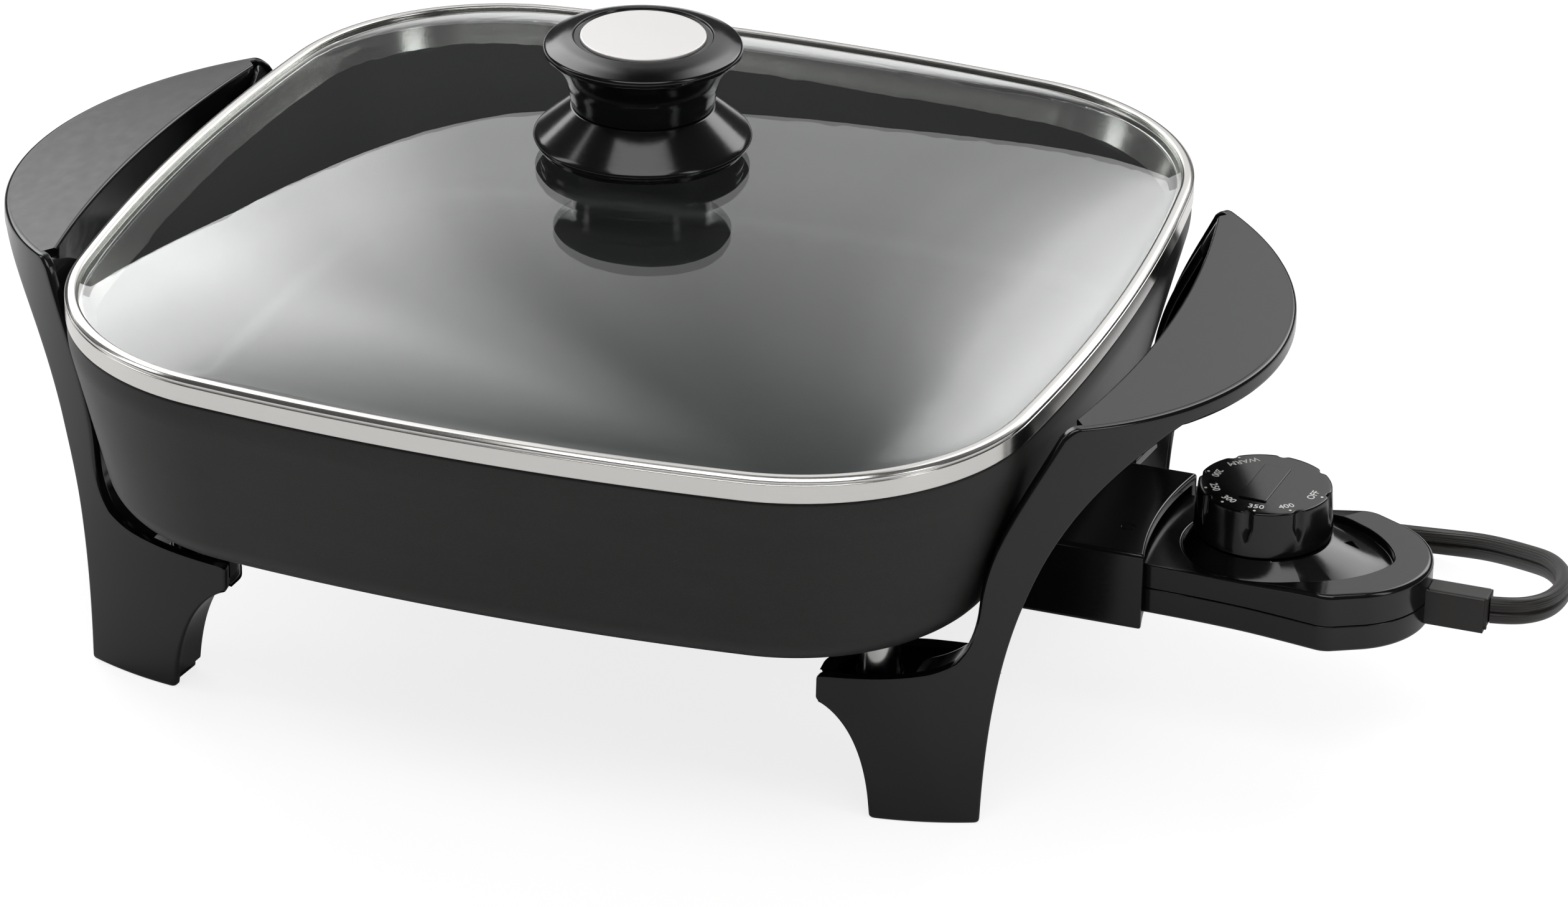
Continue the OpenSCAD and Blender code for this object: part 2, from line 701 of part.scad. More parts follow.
module power_cord() color("#2f2b28") placed() {
    tube(cord_route, cord_w / 2, cord_h / 2);
    tube(tail_route, cord_w / 2, cord_h / 2, [for (i = [0:tail_steps]) 90 * i / tail_steps]);
}

// End of the cord: a last bend inside the coil, to the plug
tail_steps = 6;
tail_start = coil_r - coil_pitch * coil_turns;
tail_route = [for (i = [0:tail_steps]) let (a = tail_a * i / tail_steps)
    [coil_x + tail_start - tail_r + tail_r * cos(a), coil_y + tail_r * sin(a), coil_z]];

module coil_ring() {
    translate([coil_x, coil_y, 0]) ring(tail_start - cord_w / 2, coil_r + cord_w / 2,
        coil_z - cord_h / 2, coil_z + cord_h / 2);
}

module cord_coil() color("#2f2b28") placed() coil_ring();

module cord_tie() color("#101010") placed() {
    difference() {
        translate([coil_x - coil_r - cord_w / 2 - 0.6, coil_y - 3, coil_z - cord_h / 2 - 0.6])
            cube([coil_r - tail_start + cord_w + 1.2, 6, cord_h + 1.2]);
        coil_ring();
    }
}

// Place of the plug: at the cord's end, pointing on along it
module at_plug() {
    translate(tail_route[tail_steps]) rotate(tail_a + 90) children();
}

module plug_body() color("#2f2b28") placed() at_plug() {
    hull() {
        translate([0, -5, -3]) cube([1, 10, 6]);
        translate([10, -plug_w / 2, -coil_z + 0.1]) cube([plug_l - 10, plug_w, plug_h]);
    }
}

module plug_blades() color("silver") placed() at_plug() {
    for (s = [-1, 1]) translate([plug_l, s * 6.35 - 0.75, plug_h / 2 - coil_z - 3.1])
        cube([blade_l, 1.5, 6.3]);
}

module dial_knob() color("#1c1c1e") placed() {
    z0 = collar_z + 0.7;
    flute_r = 1.7;
    translate([dial_x, 0, 0]) difference() {
        union() {
            rotate_extrude() polygon([[0, dial_z], [dial_r - 0.6, dial_z], [dial_r, dial_z - 0.6],
                [dial_r + 0.4, z0 + 5], [dial_r + 0.9, z0], [dial_r - 1.1, z0], [dial_r - 1.9, dial_z - 2.2],
                [6, dial_z - 2.2], [6, z0 + 1], [0, z0 + 1]]);
            translate([-4, -11, dial_z - 0.5]) cube([8, 22, 1.5]);
        }
        for (i = [0:flutes - 1]) rotate(360 * i / flutes)
            translate([dial_r + 0.7, 0, dial_z - 11]) cylinder(h = 12, r = flute_r, $fn = 32);
        translate([0, 0, z0]) cylinder(h = dial_z - 4 - z0, r = shaft_r);
    }
}

module dial_shaft() color("silver") placed() {
    translate([dial_x, 0, 44.5]) cylinder(h = dial_z - 4 - 44.5, r = shaft_r);
}

vessel();
vessel_posts();
left_handle_frame();
right_handle_frame();
handle_nuts();
heating_element();
terminal_pins();
terminal_blocks();
probe_guard();
guard_screws();
lid_glass();
lid_band();
knob_gasket();
knob_flange();
knob_grip();
knob_badge();
knob_washer();
knob_screw();
control_upper_case();
control_lower_case();
case_screws();
probe_tube();
terminal_plate();
contact_sleeves();
thermostat_bracket();
contact_leaves();
shaft_bushing();
lead_wires();
strain_relief();
power_cord();
cord_coil();
cord_tie();
plug_body();
plug_blades();
dial_knob();
dial_shaft();
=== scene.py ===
from math import acos, asin, atan2, copysign, cos, degrees, exp, hypot, pi, radians, sin, sqrt, tan

import bmesh
import bpy
from mathutils import Matrix, Vector


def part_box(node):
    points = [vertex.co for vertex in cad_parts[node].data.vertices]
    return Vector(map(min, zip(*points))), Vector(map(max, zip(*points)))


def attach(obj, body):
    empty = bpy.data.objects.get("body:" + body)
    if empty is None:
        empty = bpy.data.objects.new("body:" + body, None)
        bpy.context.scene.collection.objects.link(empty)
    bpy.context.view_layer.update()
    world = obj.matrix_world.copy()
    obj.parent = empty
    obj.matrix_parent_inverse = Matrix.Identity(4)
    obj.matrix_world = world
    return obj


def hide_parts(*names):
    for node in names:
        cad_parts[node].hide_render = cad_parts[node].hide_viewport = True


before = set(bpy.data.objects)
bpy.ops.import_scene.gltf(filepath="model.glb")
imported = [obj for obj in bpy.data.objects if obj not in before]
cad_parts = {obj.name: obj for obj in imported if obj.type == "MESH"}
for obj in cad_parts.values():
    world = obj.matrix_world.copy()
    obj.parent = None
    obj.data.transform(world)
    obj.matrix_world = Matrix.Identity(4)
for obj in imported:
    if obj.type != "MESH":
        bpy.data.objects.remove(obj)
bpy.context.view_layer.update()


# ---- Camera --------------------------------------------------------------------------------------
# A long lens in front of the skillet and a little to its right, looking down at it. Its place is in
# the frame's metres. The sizes of the pieces are millimetres from the middle of the pan, where the
# square lid band is centred.
mm = 0.001
image_w = 2520
lens_px = 10338.72
camera_place = Vector((0.55428, -1.56756, 0.89162))
camera_turn = radians(18.78)
camera_tilt = radians(26.81)
camera_roll = radians(1.02)


def shown(name, data):
    """A new object in the scene that shows the data."""
    thing = bpy.data.objects.new(name, data)
    bpy.context.scene.collection.objects.link(thing)
    return thing


camera_data = bpy.data.cameras.new("camera")
camera_data.sensor_width = 36
camera_data.lens = camera_data.sensor_width * lens_px / image_w
camera = shown("camera", camera_data)
camera.matrix_world = (Matrix.Translation(camera_place) @ Matrix.Rotation(camera_turn, 4, "Z")
    @ Matrix.Rotation(pi / 2 - camera_tilt, 4, "X") @ Matrix.Rotation(camera_roll, 4, "Z"))
bpy.context.scene.camera = camera
bpy.context.scene.view_settings.view_transform = "Standard"


# ---- Power cord ----------------------------------------------------------------------------------
# A flat two-core heater cord in dark thermoset rubber. The upper core is moulded with fine ribs and
# the lower one is smooth, with a groove between them. Past the visible bend it lies on the counter
# behind the control and is wound flat in two turns, held by a black tie.
cord_w = 4.5
cord_h = 8
route = [(253.5, 0, 44), (257.5, 0.8, 44), (261.5, 3, 43.6), (264.8, 6.8, 43), (267, 12.5, 41.8),
    (268, 20, 40.2), (267.8, 30, 37.9), (265.8, 41, 34.8), (262, 52.5, 31.2), (256.5, 64.5, 27),
    (249, 75.5, 22), (240, 87, 16.8), (230, 97.5, 11.8), (219, 104.8, 7.4), (207, 108.3, 4.9),
    (193, 108.3, 4.1), (176, 106.8, 4.1), (158, 107.2, 4.1), (142, 110, 4.1), (125, 115, 4.1),
    (109, 122.5, 4.1), (95.5, 132.5, 4.1), (86, 145.5, 4.1), (81.5, 161, 4.2), (80.3, 178, 4.4),
    (80.2, 193, 4.6), (80.2, 208, 4.7)]
coil_x = 34
coil_y = 208
coil_z = 4.7
coil_r = 46.2
coil_pitch = 4.6
coil_turns = 2
tail_r = 18
tail_turn = 130

band_low, band_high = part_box("lid_band")
pan_x = (band_low[0] + band_high[0]) / 2


def place(point):
    """A point in millimetres from the middle of the pan, in the frame's metres."""
    return Vector((pan_x + point[0] * mm, point[1] * mm, point[2] * mm))


def solid(name, shells):
    """An object in the scene made of closed shells, each a list of points and a list of faces."""
    mesh = bmesh.new()
    for points, faces in shells:
        verts = [mesh.verts.new(place(p)) for p in points]
        for face in faces:
            mesh.faces.new([verts[i] for i in face])
    bmesh.ops.recalc_face_normals(mesh, faces=mesh.faces)
    data = bpy.data.meshes.new(name)
    mesh.to_mesh(data)
    mesh.free()
    return shown(name, data)


def shade(data, sharp):
    """Smooth shading, with hard edges where faces meet at more than an angle in degrees."""
    data.shade_smooth()
    data.set_sharp_from_angle(angle=radians(sharp))


def piece(name, body, made_of, shells, stands_for=(), sharp=50, even=True):
    """One real piece of closed shells in its material, riding on a body."""
    thing = solid(name, shells)
    thing.data.materials.append(made_of)
    shade(thing.data, sharp)
    if even:
        level = thing.modifiers.new("even_shading", "WEIGHTED_NORMAL")
        level.keep_sharp = True
    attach(thing, body)
    if stands_for:
        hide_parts(*stands_for)
    return thing


def skin(rings, closed=False):
    """A shell over rings of points: each ring is joined to the next, and the ends are filled."""
    count = len(rings[0])
    points = [p for ring in rings for p in ring]
    spans = range(len(rings) if closed else len(rings) - 1)
    faces = []
    for a in spans:
        b = (a + 1) % len(rings)
        for i in range(count):
            j = (i + 1) % count
            faces.append((a * count + i, a * count + j, b * count + j, b * count + i))
    if not closed:
        faces.append(tuple(range(count)))
        faces.append(tuple(range(len(points) - count, len(points))))
    return points, faces


def colour(code):
    """The linear colour of an sRGB hex code."""
    parts = [int(code[i:i + 2], 16) / 255 for i in (1, 3, 5)]
    return [c / 12.92 if c <= 0.04045 else ((c + 0.055) / 1.055) ** 2.4 for c in parts] + [1]


def add(tree, kind, inputs=(), **settings):
    """Adds a node with its settings; an input is a value or the output that it is joined to."""
    new = tree.nodes.new(kind)
    for key, value in settings.items():
        setattr(new, key, value)
    for key, value in dict(inputs).items():
        if isinstance(value, bpy.types.NodeSocket):
            tree.links.new(value, new.inputs[key])
        else:
            new.inputs[key].default_value = value
    return new


def material(name):
    """An empty material and its node tree."""
    made = bpy.data.materials.new(name)
    made.use_nodes = True
    made.node_tree.nodes.clear()
    return made, made.node_tree


def smooth_line(points, steps):
    """A curve through the points, each stretch cut in steps."""
    line = []
    ends = [points[0]] + points + [points[-1]]
    for i in range(len(points) - 1):
        a, b, c, d = (Vector(p) for p in ends[i:i + 4])
        for k in range(steps):
            t = k / steps
            line.append((2 * b + (c - a) * t + (2 * a - 5 * b + 4 * c - d) * t * t
                + (3 * b - a - 3 * c + d) * t ** 3) / 2)
    return line + [Vector(points[-1])]


def relaxed(line, passes):
    """The line with its inner points drawn towards their neighbours, as a stiff cord evens a bend."""
    for _ in range(passes):
        line[1:-1] = [(a + 2 * b + c) / 4 for a, b, c in zip(line, line[1:], line[2:])]
    return line


def polar(x, y, r, angle):
    """The point at a distance from a centre, at an angle in radians."""
    return x + r * cos(angle), y + r * sin(angle)


def cord_path():
    """The cord's middle line and how far its flat section has turned over at each point."""
    line = relaxed(smooth_line(route, 8), 32)
    turn_steps = 84
    for i in range(1, coil_turns * turn_steps + 1):
        angle = 2 * pi * i / turn_steps
        r = coil_r - coil_pitch * i / turn_steps
        line.append(Vector((*polar(coil_x, coil_y, r, angle), coil_z)))
    over = [0] * len(line)
    tail_start = coil_r - coil_pitch * coil_turns
    tail_steps = 18
    for i in range(1, tail_steps + 1):
        angle = radians(tail_turn) * i / tail_steps
        line.append(Vector((*polar(coil_x + tail_start - tail_r, coil_y, tail_r, angle), coil_z)))
        over.append(pi / 2 * i / tail_steps)
    return line, over


def cord_section():
    """Sideways and upward offsets round the cord: two round cores, a groove, ribs on the upper one."""
    core_r = cord_w / 2
    core_up = cord_h / 2 - core_r
    groove = 0.8
    groove_w = 0.42
    rib = 0.2
    rib_gap = 0.62
    count = 144
    section = []
    for i in range(count):
        angle = 2 * pi * i / count
        up = cord_h / 2 * sin(angle)
        past = max(abs(up) - core_up, 0)
        side = sqrt(max(core_r ** 2 - past ** 2, 0)) - groove * exp(-(up / groove_w) ** 2)
        if 0.7 < up < cord_h / 2 - 0.5:
            side -= rib * (0.5 - 0.5 * cos(2 * pi * up / rib_gap))
        section.append((copysign(side, cos(angle)), up))
    return section


def swept(line, over, section):
    """A shell of the section carried along the line, upright except where it has turned over."""
    rings = []
    for i, point in enumerate(line):
        way = (line[min(i + 1, len(line) - 1)] - line[max(i - 1, 0)]).normalized()
        side = way.cross(Vector((0, 0, 1))).normalized()
        up = side.cross(way)
        c, s = cos(over[i]), sin(over[i])
        rings.append([point + (side * c + up * s) * a + (up * c - side * s) * b for a, b in section])
    return skin(rings)


rubber, tree = material("thermoset_rubber")
# Moulded rubber: dull, with a soft sheen on the ribs and a faint mottle from handling. Here and below,
# a pattern with no coordinates of its own counts its cells across the box of the piece that wears it.
grain = add(tree, "ShaderNodeTexNoise", {"Scale": 900, "Detail": 3})
mottle = add(tree, "ShaderNodeTexNoise", {"Scale": 60, "Detail": 2})
tone = add(tree, "ShaderNodeMix", {0: mottle.outputs["Fac"], 6: colour("#181614"), 7: colour("#24211f")},
    data_type="RGBA")
relief_bump = add(tree, "ShaderNodeBump", {"Strength": 0.25, "Distance": 0.08 * mm,
    "Height": grain.outputs["Fac"]})
surface = add(tree, "ShaderNodeBsdfPrincipled", {"Base Color": tone.outputs[2], "Roughness": 0.46,
    "IOR": 1.5, "Normal": relief_bump.outputs["Normal"]})
add(tree, "ShaderNodeOutputMaterial", {"Surface": surface.outputs[0]})

cord_line, cord_over = cord_path()
cord = piece("flat_cord", "heat_control", rubber,
    [swept(cord_line, cord_over, cord_section())], ("power_cord", "cord_coil"), sharp=70)


# ---- Cord tie, strain relief and plug ------------------------------------------------------------
# The tie is a thin strip of black polypropylene round both turns of the coil. The strain relief is
# a slim two-step block of the cord's rubber, moulded on and caught in a slot between the case
# halves. The plug is moulded on the other end, with three finger grooves and two brass blades.
def rectangle(x0, x1, y0, y1):
    """The four corners of a rectangle, anticlockwise."""
    return [(x0, y0), (x1, y0), (x1, y1), (x0, y1)]


def arc(cx, cy, r, start, end, steps):
    """Points of an arc from one angle to another, in radians."""
    return [polar(cx, cy, r, start + (end - start) * i / steps) for i in range(steps + 1)]


def rounded_box(half_x, half_y, radius):
    """Corner-rounded rectangle as offsets from its middle, anticlockwise."""
    loop = []
    for k, (sx, sy) in enumerate(((1, 1), (-1, 1), (-1, -1), (1, -1))):
        loop += arc(sx * (half_x - radius), sy * (half_y - radius), radius, pi / 2 * k, pi / 2 * (k + 1), 6)
    return loop


def grained(name, cells, detail, given, tones=(), rough=()):
    """A material in which noise mixes two tones, moves the roughness, or both.

    The noise has this many cells across the box of the piece that wears it.
    """
    made, tree = material(name)
    grain = add(tree, "ShaderNodeTexNoise", {"Scale": cells, "Detail": detail}).outputs["Fac"]
    inputs = dict(given)
    if tones:
        mixed = add(tree, "ShaderNodeMix", {0: grain, 6: colour(tones[0]), 7: colour(tones[1])},
            data_type="RGBA")
        inputs["Base Color"] = mixed.outputs[2]
    if rough:
        ranged = add(tree, "ShaderNodeMapRange", {"Value": grain, "To Min": rough[0], "To Max": rough[1]})
        inputs["Roughness"] = ranged.outputs["Result"]
    surface = add(tree, "ShaderNodeBsdfPrincipled", inputs)
    add(tree, "ShaderNodeOutputMaterial", {"Surface": surface.outputs[0]})
    return made


# Drawn plastic strip: satin black, finely mottled between dull and shiny.
tie_plastic = grained("polypropylene_tie", 700, 2, {"Base Color": colour("#131313"), "IOR": 1.49},
    rough=(0.3, 0.5))

tie_low, tie_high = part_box("cord_tie")
tie_x, tie_z = ((tie_low[i] + tie_high[i]) / 2 / mm for i in (0, 2))
half_x, half_z = ((tie_high[i] - tie_low[i]) / 2 / mm for i in (0, 2))
tie_t = 0.55
tie_r = 2.4
tie_rings = []
for y, inset in ((-2.6, tie_t), (-3, tie_t * 0.7), (-3, tie_t * 0.3), (-2.6, 0), (2.6, 0),
        (3, tie_t * 0.3), (3, tie_t * 0.7), (2.6, tie_t)):
    loop = rounded_box(half_x - inset, half_z - inset, tie_r - inset)
    tie_rings.append([(tie_x - pan_x / mm + a, coil_y + y, tie_z + b) for a, b in loop])
tie = piece("coil_tie", "heat_control", tie_plastic, [skin(tie_rings, closed=True)],
    ("cord_tie",), sharp=60)


def turned(profile, centre=(0, 0), steps=96, closed=False):
    """A shell turned round an upright axis; each profile point is a radius and a height."""
    rings = []
    for r, z in profile:
        rings.append([(*polar(*centre, r, 2 * pi * i / steps), z) for i in range(steps)])
    return skin(rings, closed)


def lying(shell, x, y, z):
    """The shell laid along +X: its upright axis now runs from x at this place."""
    points, faces = shell
    return [(x + p[2], y + p[1], z - p[0]) for p in points], faces


def rounded(corners, radius, steps=4, closed=True):
    """The outline with its corners rounded; a corner may carry its own radius as a third number."""
    count = len(corners)
    line = []
    for i, corner in enumerate(corners):
        here = Vector(corner[:2])
        own = corner[2] if len(corner) > 2 else radius
        if own == 0 or (not closed and i in (0, count - 1)):
            line.append(tuple(here))
            continue
        back = Vector(corners[i - 1][:2]) - here
        on = Vector(corners[(i + 1) % count][:2]) - here
        own = min(own, 0.45 * back.length, 0.45 * on.length)
        a, b = here + back.normalized() * own, here + on.normalized() * own
        for k in range(steps + 1):
            t = k / steps
            line.append(tuple((1 - t) ** 2 * a + 2 * t * (1 - t) * here + t * t * b))
    return line


def pushed(loop, inset):
    """A level outline, anticlockwise, moved in from its line by a distance."""
    count = len(loop)
    moved = []
    for i, (x, y) in enumerate(loop):
        way = (Vector(loop[(i + 1) % count]) - Vector(loop[i - 1])).normalized()
        moved.append((x - way.y * inset, y + way.x * inset))
    return moved


def slab(loop, low, high, edge=0.5, steps=4):
    """A shell of a level outline, anticlockwise, between two heights, with rounded edges."""
    rings = []
    for top in (False, True):
        for k in range(steps + 1):
            angle = pi / 2 * (1 - k / steps if top else k / steps)
            rise = edge * (1 - cos(angle))
            z = high - rise if top else low + rise
            rings.append([(x, y, z) for x, y in pushed(loop, edge * (1 - sin(angle)))])
    return skin(rings)


# The strain relief's lower step is 8 mm wide; its upper step is narrower and reaches a little further,
# with an upright rib on either side of its end. A neck leads through the case's slot to a flange inside.
relief_x0 = 235.7
relief_x1 = 253.5
relief_z0 = 38.1
relief_z1 = 48.9
neck_half = 2.9
relief = [slab(rectangle(relief_x0, relief_x1 - 0.9, -4, 4), relief_z0, relief_z1 - 0.3, 0.35),
    slab(rounded(rectangle(relief_x0, relief_x1, -3.5, 3.5), 1.2), relief_z0 + 1.6, relief_z1, 0.7)]
relief += [slab(rectangle(251.4, relief_x1 - 0.1, y - 0.45, y + 0.45), relief_z0 + 1, relief_z1 - 0.1, 0.3)
    for y in (-2.9, 2.9)]
relief += [slab(rectangle(231, 235.6, -neck_half, neck_half), 38.6, 48.2, 0.3),
    slab(rectangle(230.5, 231.5, -5, 5), 39, 47.8, 0.3)]
strain_relief = piece("cord_strain_relief", "heat_control", rubber, relief,
    ("strain_relief",))

# The plug lies flat at the end of the cord, in the coil's middle; its blades point on along the cord.
plug_l = 28
full = (-4.5, 6.3, 3.6)
grooved = (-4.3, 6, 3.4)
plug_rings = []
for x, half_y, (low, high, radius) in ((0, 4.4, (-2.4, 2.4, 1.6)), (0.6, 5, (-3, 3, 2.2)),
        (5, 6.6, (-3.6, 4, 2.6)), (10, 10.6, (-4.4, 6, 3.4)), (13, 11.7, full), (14, 11.3, grooved),
        (15, 11.7, full), (17, 11.8, full), (18, 11.4, grooved), (19, 11.8, full), (21, 11.9, full),
        (22, 11.5, grooved), (23, 11.9, full), (27.4, 11.9, full), (plug_l, 11.3, (-4, 5.8, 3.2))):
    plug_rings.append([(x, a, (low + high) / 2 + b)
        for a, b in rounded_box(half_y, (high - low) / 2, radius)])
plug_way = radians(tail_turn + 90)
plug_place = cord_line[-1]


def at_plug(shell):
    """The shell moved from the plug's own axis to the end of the cord."""
    c, s = cos(plug_way), sin(plug_way)
    points, faces = shell
    return [(plug_place.x + x * c - y * s, plug_place.y + x * s + y * c, plug_place.z + z)
        for x, y, z in points], faces


plug = piece("cord_plug", "heat_control", rubber, [at_plug(skin(plug_rings))],
    ("plug_body",))

# Rolled brass strip: warm, a little dulled, with a fine grain from the rolls.
brass = grained("rolled_brass", 1200, 2, {"Base Color": colour("#d8b878"), "Metallic": 1},
    rough=(0.18, 0.34))

blade_end = plug_l + 17
blade_t = 1.5
blade_low = -2.3
blade_high = 4
blade_gap = 12.7
blade_line = rounded([(plug_l - 2, -blade_t / 2), (blade_end, -blade_t / 2, 0.5),
    (blade_end, blade_t / 2, 0.5), (plug_l - 2, blade_t / 2)], 0)
blades = [at_plug(slab([(x, y + side * blade_gap / 2) for x, y in blade_line], blade_low, blade_high, 0.25))
    for side in (-1, 1)]
plug_blades = piece("plug_blades_pair", "heat_control", brass, blades, ("plug_blades",))


# ---- Vessel --------------------------------------------------------------------------------------
# A die-cast aluminium pan, square with bowed sides, sprayed inside and out with a dark non-stick
# coating and baked. Two rings under its floor hold the element, and a boss holds the sensor well.
band_half = 145
side_r = 693
corner_r = 70
side_sweep = radians(45) + asin((band_half - side_r) / (side_r - corner_r) / sqrt(2))
corner_c = (side_r - corner_r) * sin(side_sweep)
base_z = 57
rim_z = 113.3
rim_half = band_half - 0.4
wall_slope = radians(13.6)
element_r = 90


def square_loop(half, z, side_steps=26, corner_steps=44):
    """The rim's outline pushed to a half width, at a height."""
    loop = []
    for k in range(4):
        c, s = cos(pi / 2 * k), sin(pi / 2 * k)
        arcs = [(band_half - side_r, 0, half - band_half + side_r, side_sweep * (2 * i / side_steps - 1))
            for i in range(side_steps)]
        arcs += [(corner_c, corner_c, half - band_half + corner_r,
            side_sweep + (pi / 2 - 2 * side_sweep) * i / corner_steps) for i in range(corner_steps)]
        for cx, cy, r, a in arcs:
            x, y = polar(cx, cy, r, a)
            loop.append((x * c - y * s, x * s + y * c, z))
    return loop


coating, tree = material("sprayed_nonstick_coating")
# Sprayed and baked PTFE coating with mica: satin charcoal, pebbled, with flecks that catch the light.
# The flecks are about 0.05 mm in life, and are drawn about three times as wide. The sizes are in
# millimetres over the pan's width, and the patterns are flatter on the walls.
pan_w = 2 * rim_half
fleck_size = 0.1446
pebble_size = 2.2 * fleck_size
cloud_size = 20.66
flecks = add(tree, "ShaderNodeTexVoronoi", {"Scale": pan_w / fleck_size})
bright = add(tree, "ShaderNodeMapRange", {"Value": flecks.outputs["Color"], "From Min": 0.72,
    "From Max": 0.9})
pebble = add(tree, "ShaderNodeTexNoise", {"Scale": pan_w / pebble_size, "Detail": 3, "Roughness": 0.6})
clouds = add(tree, "ShaderNodeTexNoise", {"Scale": pan_w / cloud_size, "Detail": 2})
tone = add(tree, "ShaderNodeMix", {0: clouds.outputs["Fac"], 6: colour("#1b1b1a"), 7: colour("#212120")},
    data_type="RGBA")
tone = add(tree, "ShaderNodeMix", {0: bright.outputs["Result"], 6: tone.outputs[2], 7: colour("#353534")},
    data_type="RGBA")
relief_bump = add(tree, "ShaderNodeBump", {"Strength": 0.22, "Distance": 0.05 * mm,
    "Height": pebble.outputs["Fac"]})
rough = add(tree, "ShaderNodeMapRange", {"Value": pebble.outputs["Fac"], "To Min": 0.34, "To Max": 0.52})
surface = add(tree, "ShaderNodeBsdfPrincipled", {"Base Color": tone.outputs[2], "IOR": 1.36,
    "Roughness": rough.outputs["Result"], "Normal": relief_bump.outputs["Normal"]})
add(tree, "ShaderNodeOutputMaterial", {"Surface": surface.outputs[0]})

rim_in = rim_half - 3.4
fillet_r = 12
fillet_z = base_z + fillet_r
rim_low = rim_z - 6
fillet_half = rim_half - (rim_low - fillet_z) * tan(wall_slope) - fillet_r / cos(wall_slope)
wall_t = 3.6
bowl = arc(fillet_half, fillet_z, fillet_r - wall_t, -pi / 2, -wall_slope, 9)
wall_foot = polar(fillet_half, fillet_z, fillet_r, -wall_slope)
bowl += rounded([bowl[-1], (rim_in, rim_low, 8), (rim_in, rim_z, 0.9), (rim_half, rim_z, 0.9),
    (rim_half, rim_low, 8), wall_foot], 0, 6, closed=False)[1:-1]
bowl += arc(fillet_half, fillet_z, fillet_r, -wall_slope, -pi / 2, 12)
under = [skin([square_loop(half, z) for half, z in bowl])]
for r in (element_r - 4.5, element_r + 4.5):
    under.append(turned(rounded([(r - 1, base_z + 0.5, 0), (r - 1, base_z - 5), (r + 1, base_z - 5),
        (r + 1, base_z + 0.5, 0)], 0.5), steps=192, closed=True))
well_z = 44
well_x0 = 60
well_x1 = 116
well_l = well_x1 - well_x0
well_line = [(0, 0), (4.9, 0), (5.5, 0.6), (5.5, well_l - 0.6), (4.9, well_l), (3, well_l), (3, 4), (0, 4)]
under.append(lying(turned(well_line, steps=48), well_x0, 0, well_z))
under.append(slab(rectangle(well_x0, well_x1, -4.5, 4.5), well_z + 3.4, base_z + 0.5, 0.4))
guard_places = [(110, -23.5), (110, 23.5)]
for screw_place in guard_places:
    under.append(turned(rounded([(1.7, base_z + 0.5, 0), (1.7, 50), (4, 50), (4, base_z + 0.5, 0)], 0.3),
        screw_place, 40, closed=True))
piece("vessel_bowl", "base", coating, under, ("vessel",))


# ---- Posts and nuts ------------------------------------------------------------------------------
# Four bright zinc-plated steel spacers screwed up into the casting. Each carries the pan on a boss
# of a handle frame and ends in a stud, held below by a washer and a hexagon nut.
post_x = 103
post_y = 88
shelf_z0 = 33.7
shelf_z1 = 41.5
boss_z = 41

# Turned steel with bright zinc plating: mirror-like, with faint marks of the tool.
bright_steel = grained("bright_plated_steel", 500, 3, {"Base Color": colour("#cfcfcd"), "Metallic": 1},
    rough=(0.1, 0.26))
# Barrel-plated fasteners: greyer and duller than the posts, mottled.
zinc = grained("clear_zinc_plate", 260, 3, {"Metallic": 1}, ("#a4a39e", "#c2c1bd"), (0.25, 0.45))

stud_z = 28.7
nut_z0 = 29.7
nut_z1 = 32.9
posts = []
nuts = []
for x, y in [(sx * post_x, sy * post_y) for sx in (-1, 1) for sy in (-1, 1)]:
    posts.append(turned(rounded([(0, stud_z), (2, stud_z), (2, boss_z, 0), (5.75, boss_z), (5.75, base_z),
        (0, base_z)], 0.35, closed=False), (x, y), 48))
    nuts.append(turned(rounded(rectangle(2.05, 4.5, nut_z1, shelf_z0), 0.15), (x, y), 48, closed=True))
    hexagon = [polar(x, y, 4, pi / 3 * k) for k in range(6)]
    nuts.append(slab(rounded(hexagon, 0.25, 2), nut_z0, nut_z1, 0.45))
piece("pan_posts", "base", bright_steel, posts, ("vessel_posts",))
piece("frame_nuts", "base", zinc, nuts, ("handle_nuts",))


# ---- Handle frames -------------------------------------------------------------------------------
# Two mirror-image frames in glossy black phenolic, compression moulded in one piece each: two legs
# as channels that open towards the pan, a flat grip between them and a shelf on each leg that takes
# a post. Each frame's skin is a cone round an upright axis, cut to an outline in the side view.
skin_x = 93
skin_r0 = 100.6
skin_r1 = 97.2
skin_t = 3
edge_r = 1.1
channel_d = 15
grip_inner_r = 391.5
grip_inner_x = 157.3
grip_rim = 5.2
wall_depth = 22
grip_z = 118
sole_out = 134.2
sole_in = 104.4
leg_outer = ((sole_out, 0), (135, 49), (143, 93), (176, 111.2))
leg_inner = ((151.5, grip_z), (143, 100), (133, 85), (132, 66))
leg_sweep = ((132, 66), (131, 48), (121, shelf_z1), (104, shelf_z1))
leg_under = ((88, shelf_z0), (93, 32.5), (103, 25), (sole_in, 0))

phenolic, tree = material("moulded_phenolic")
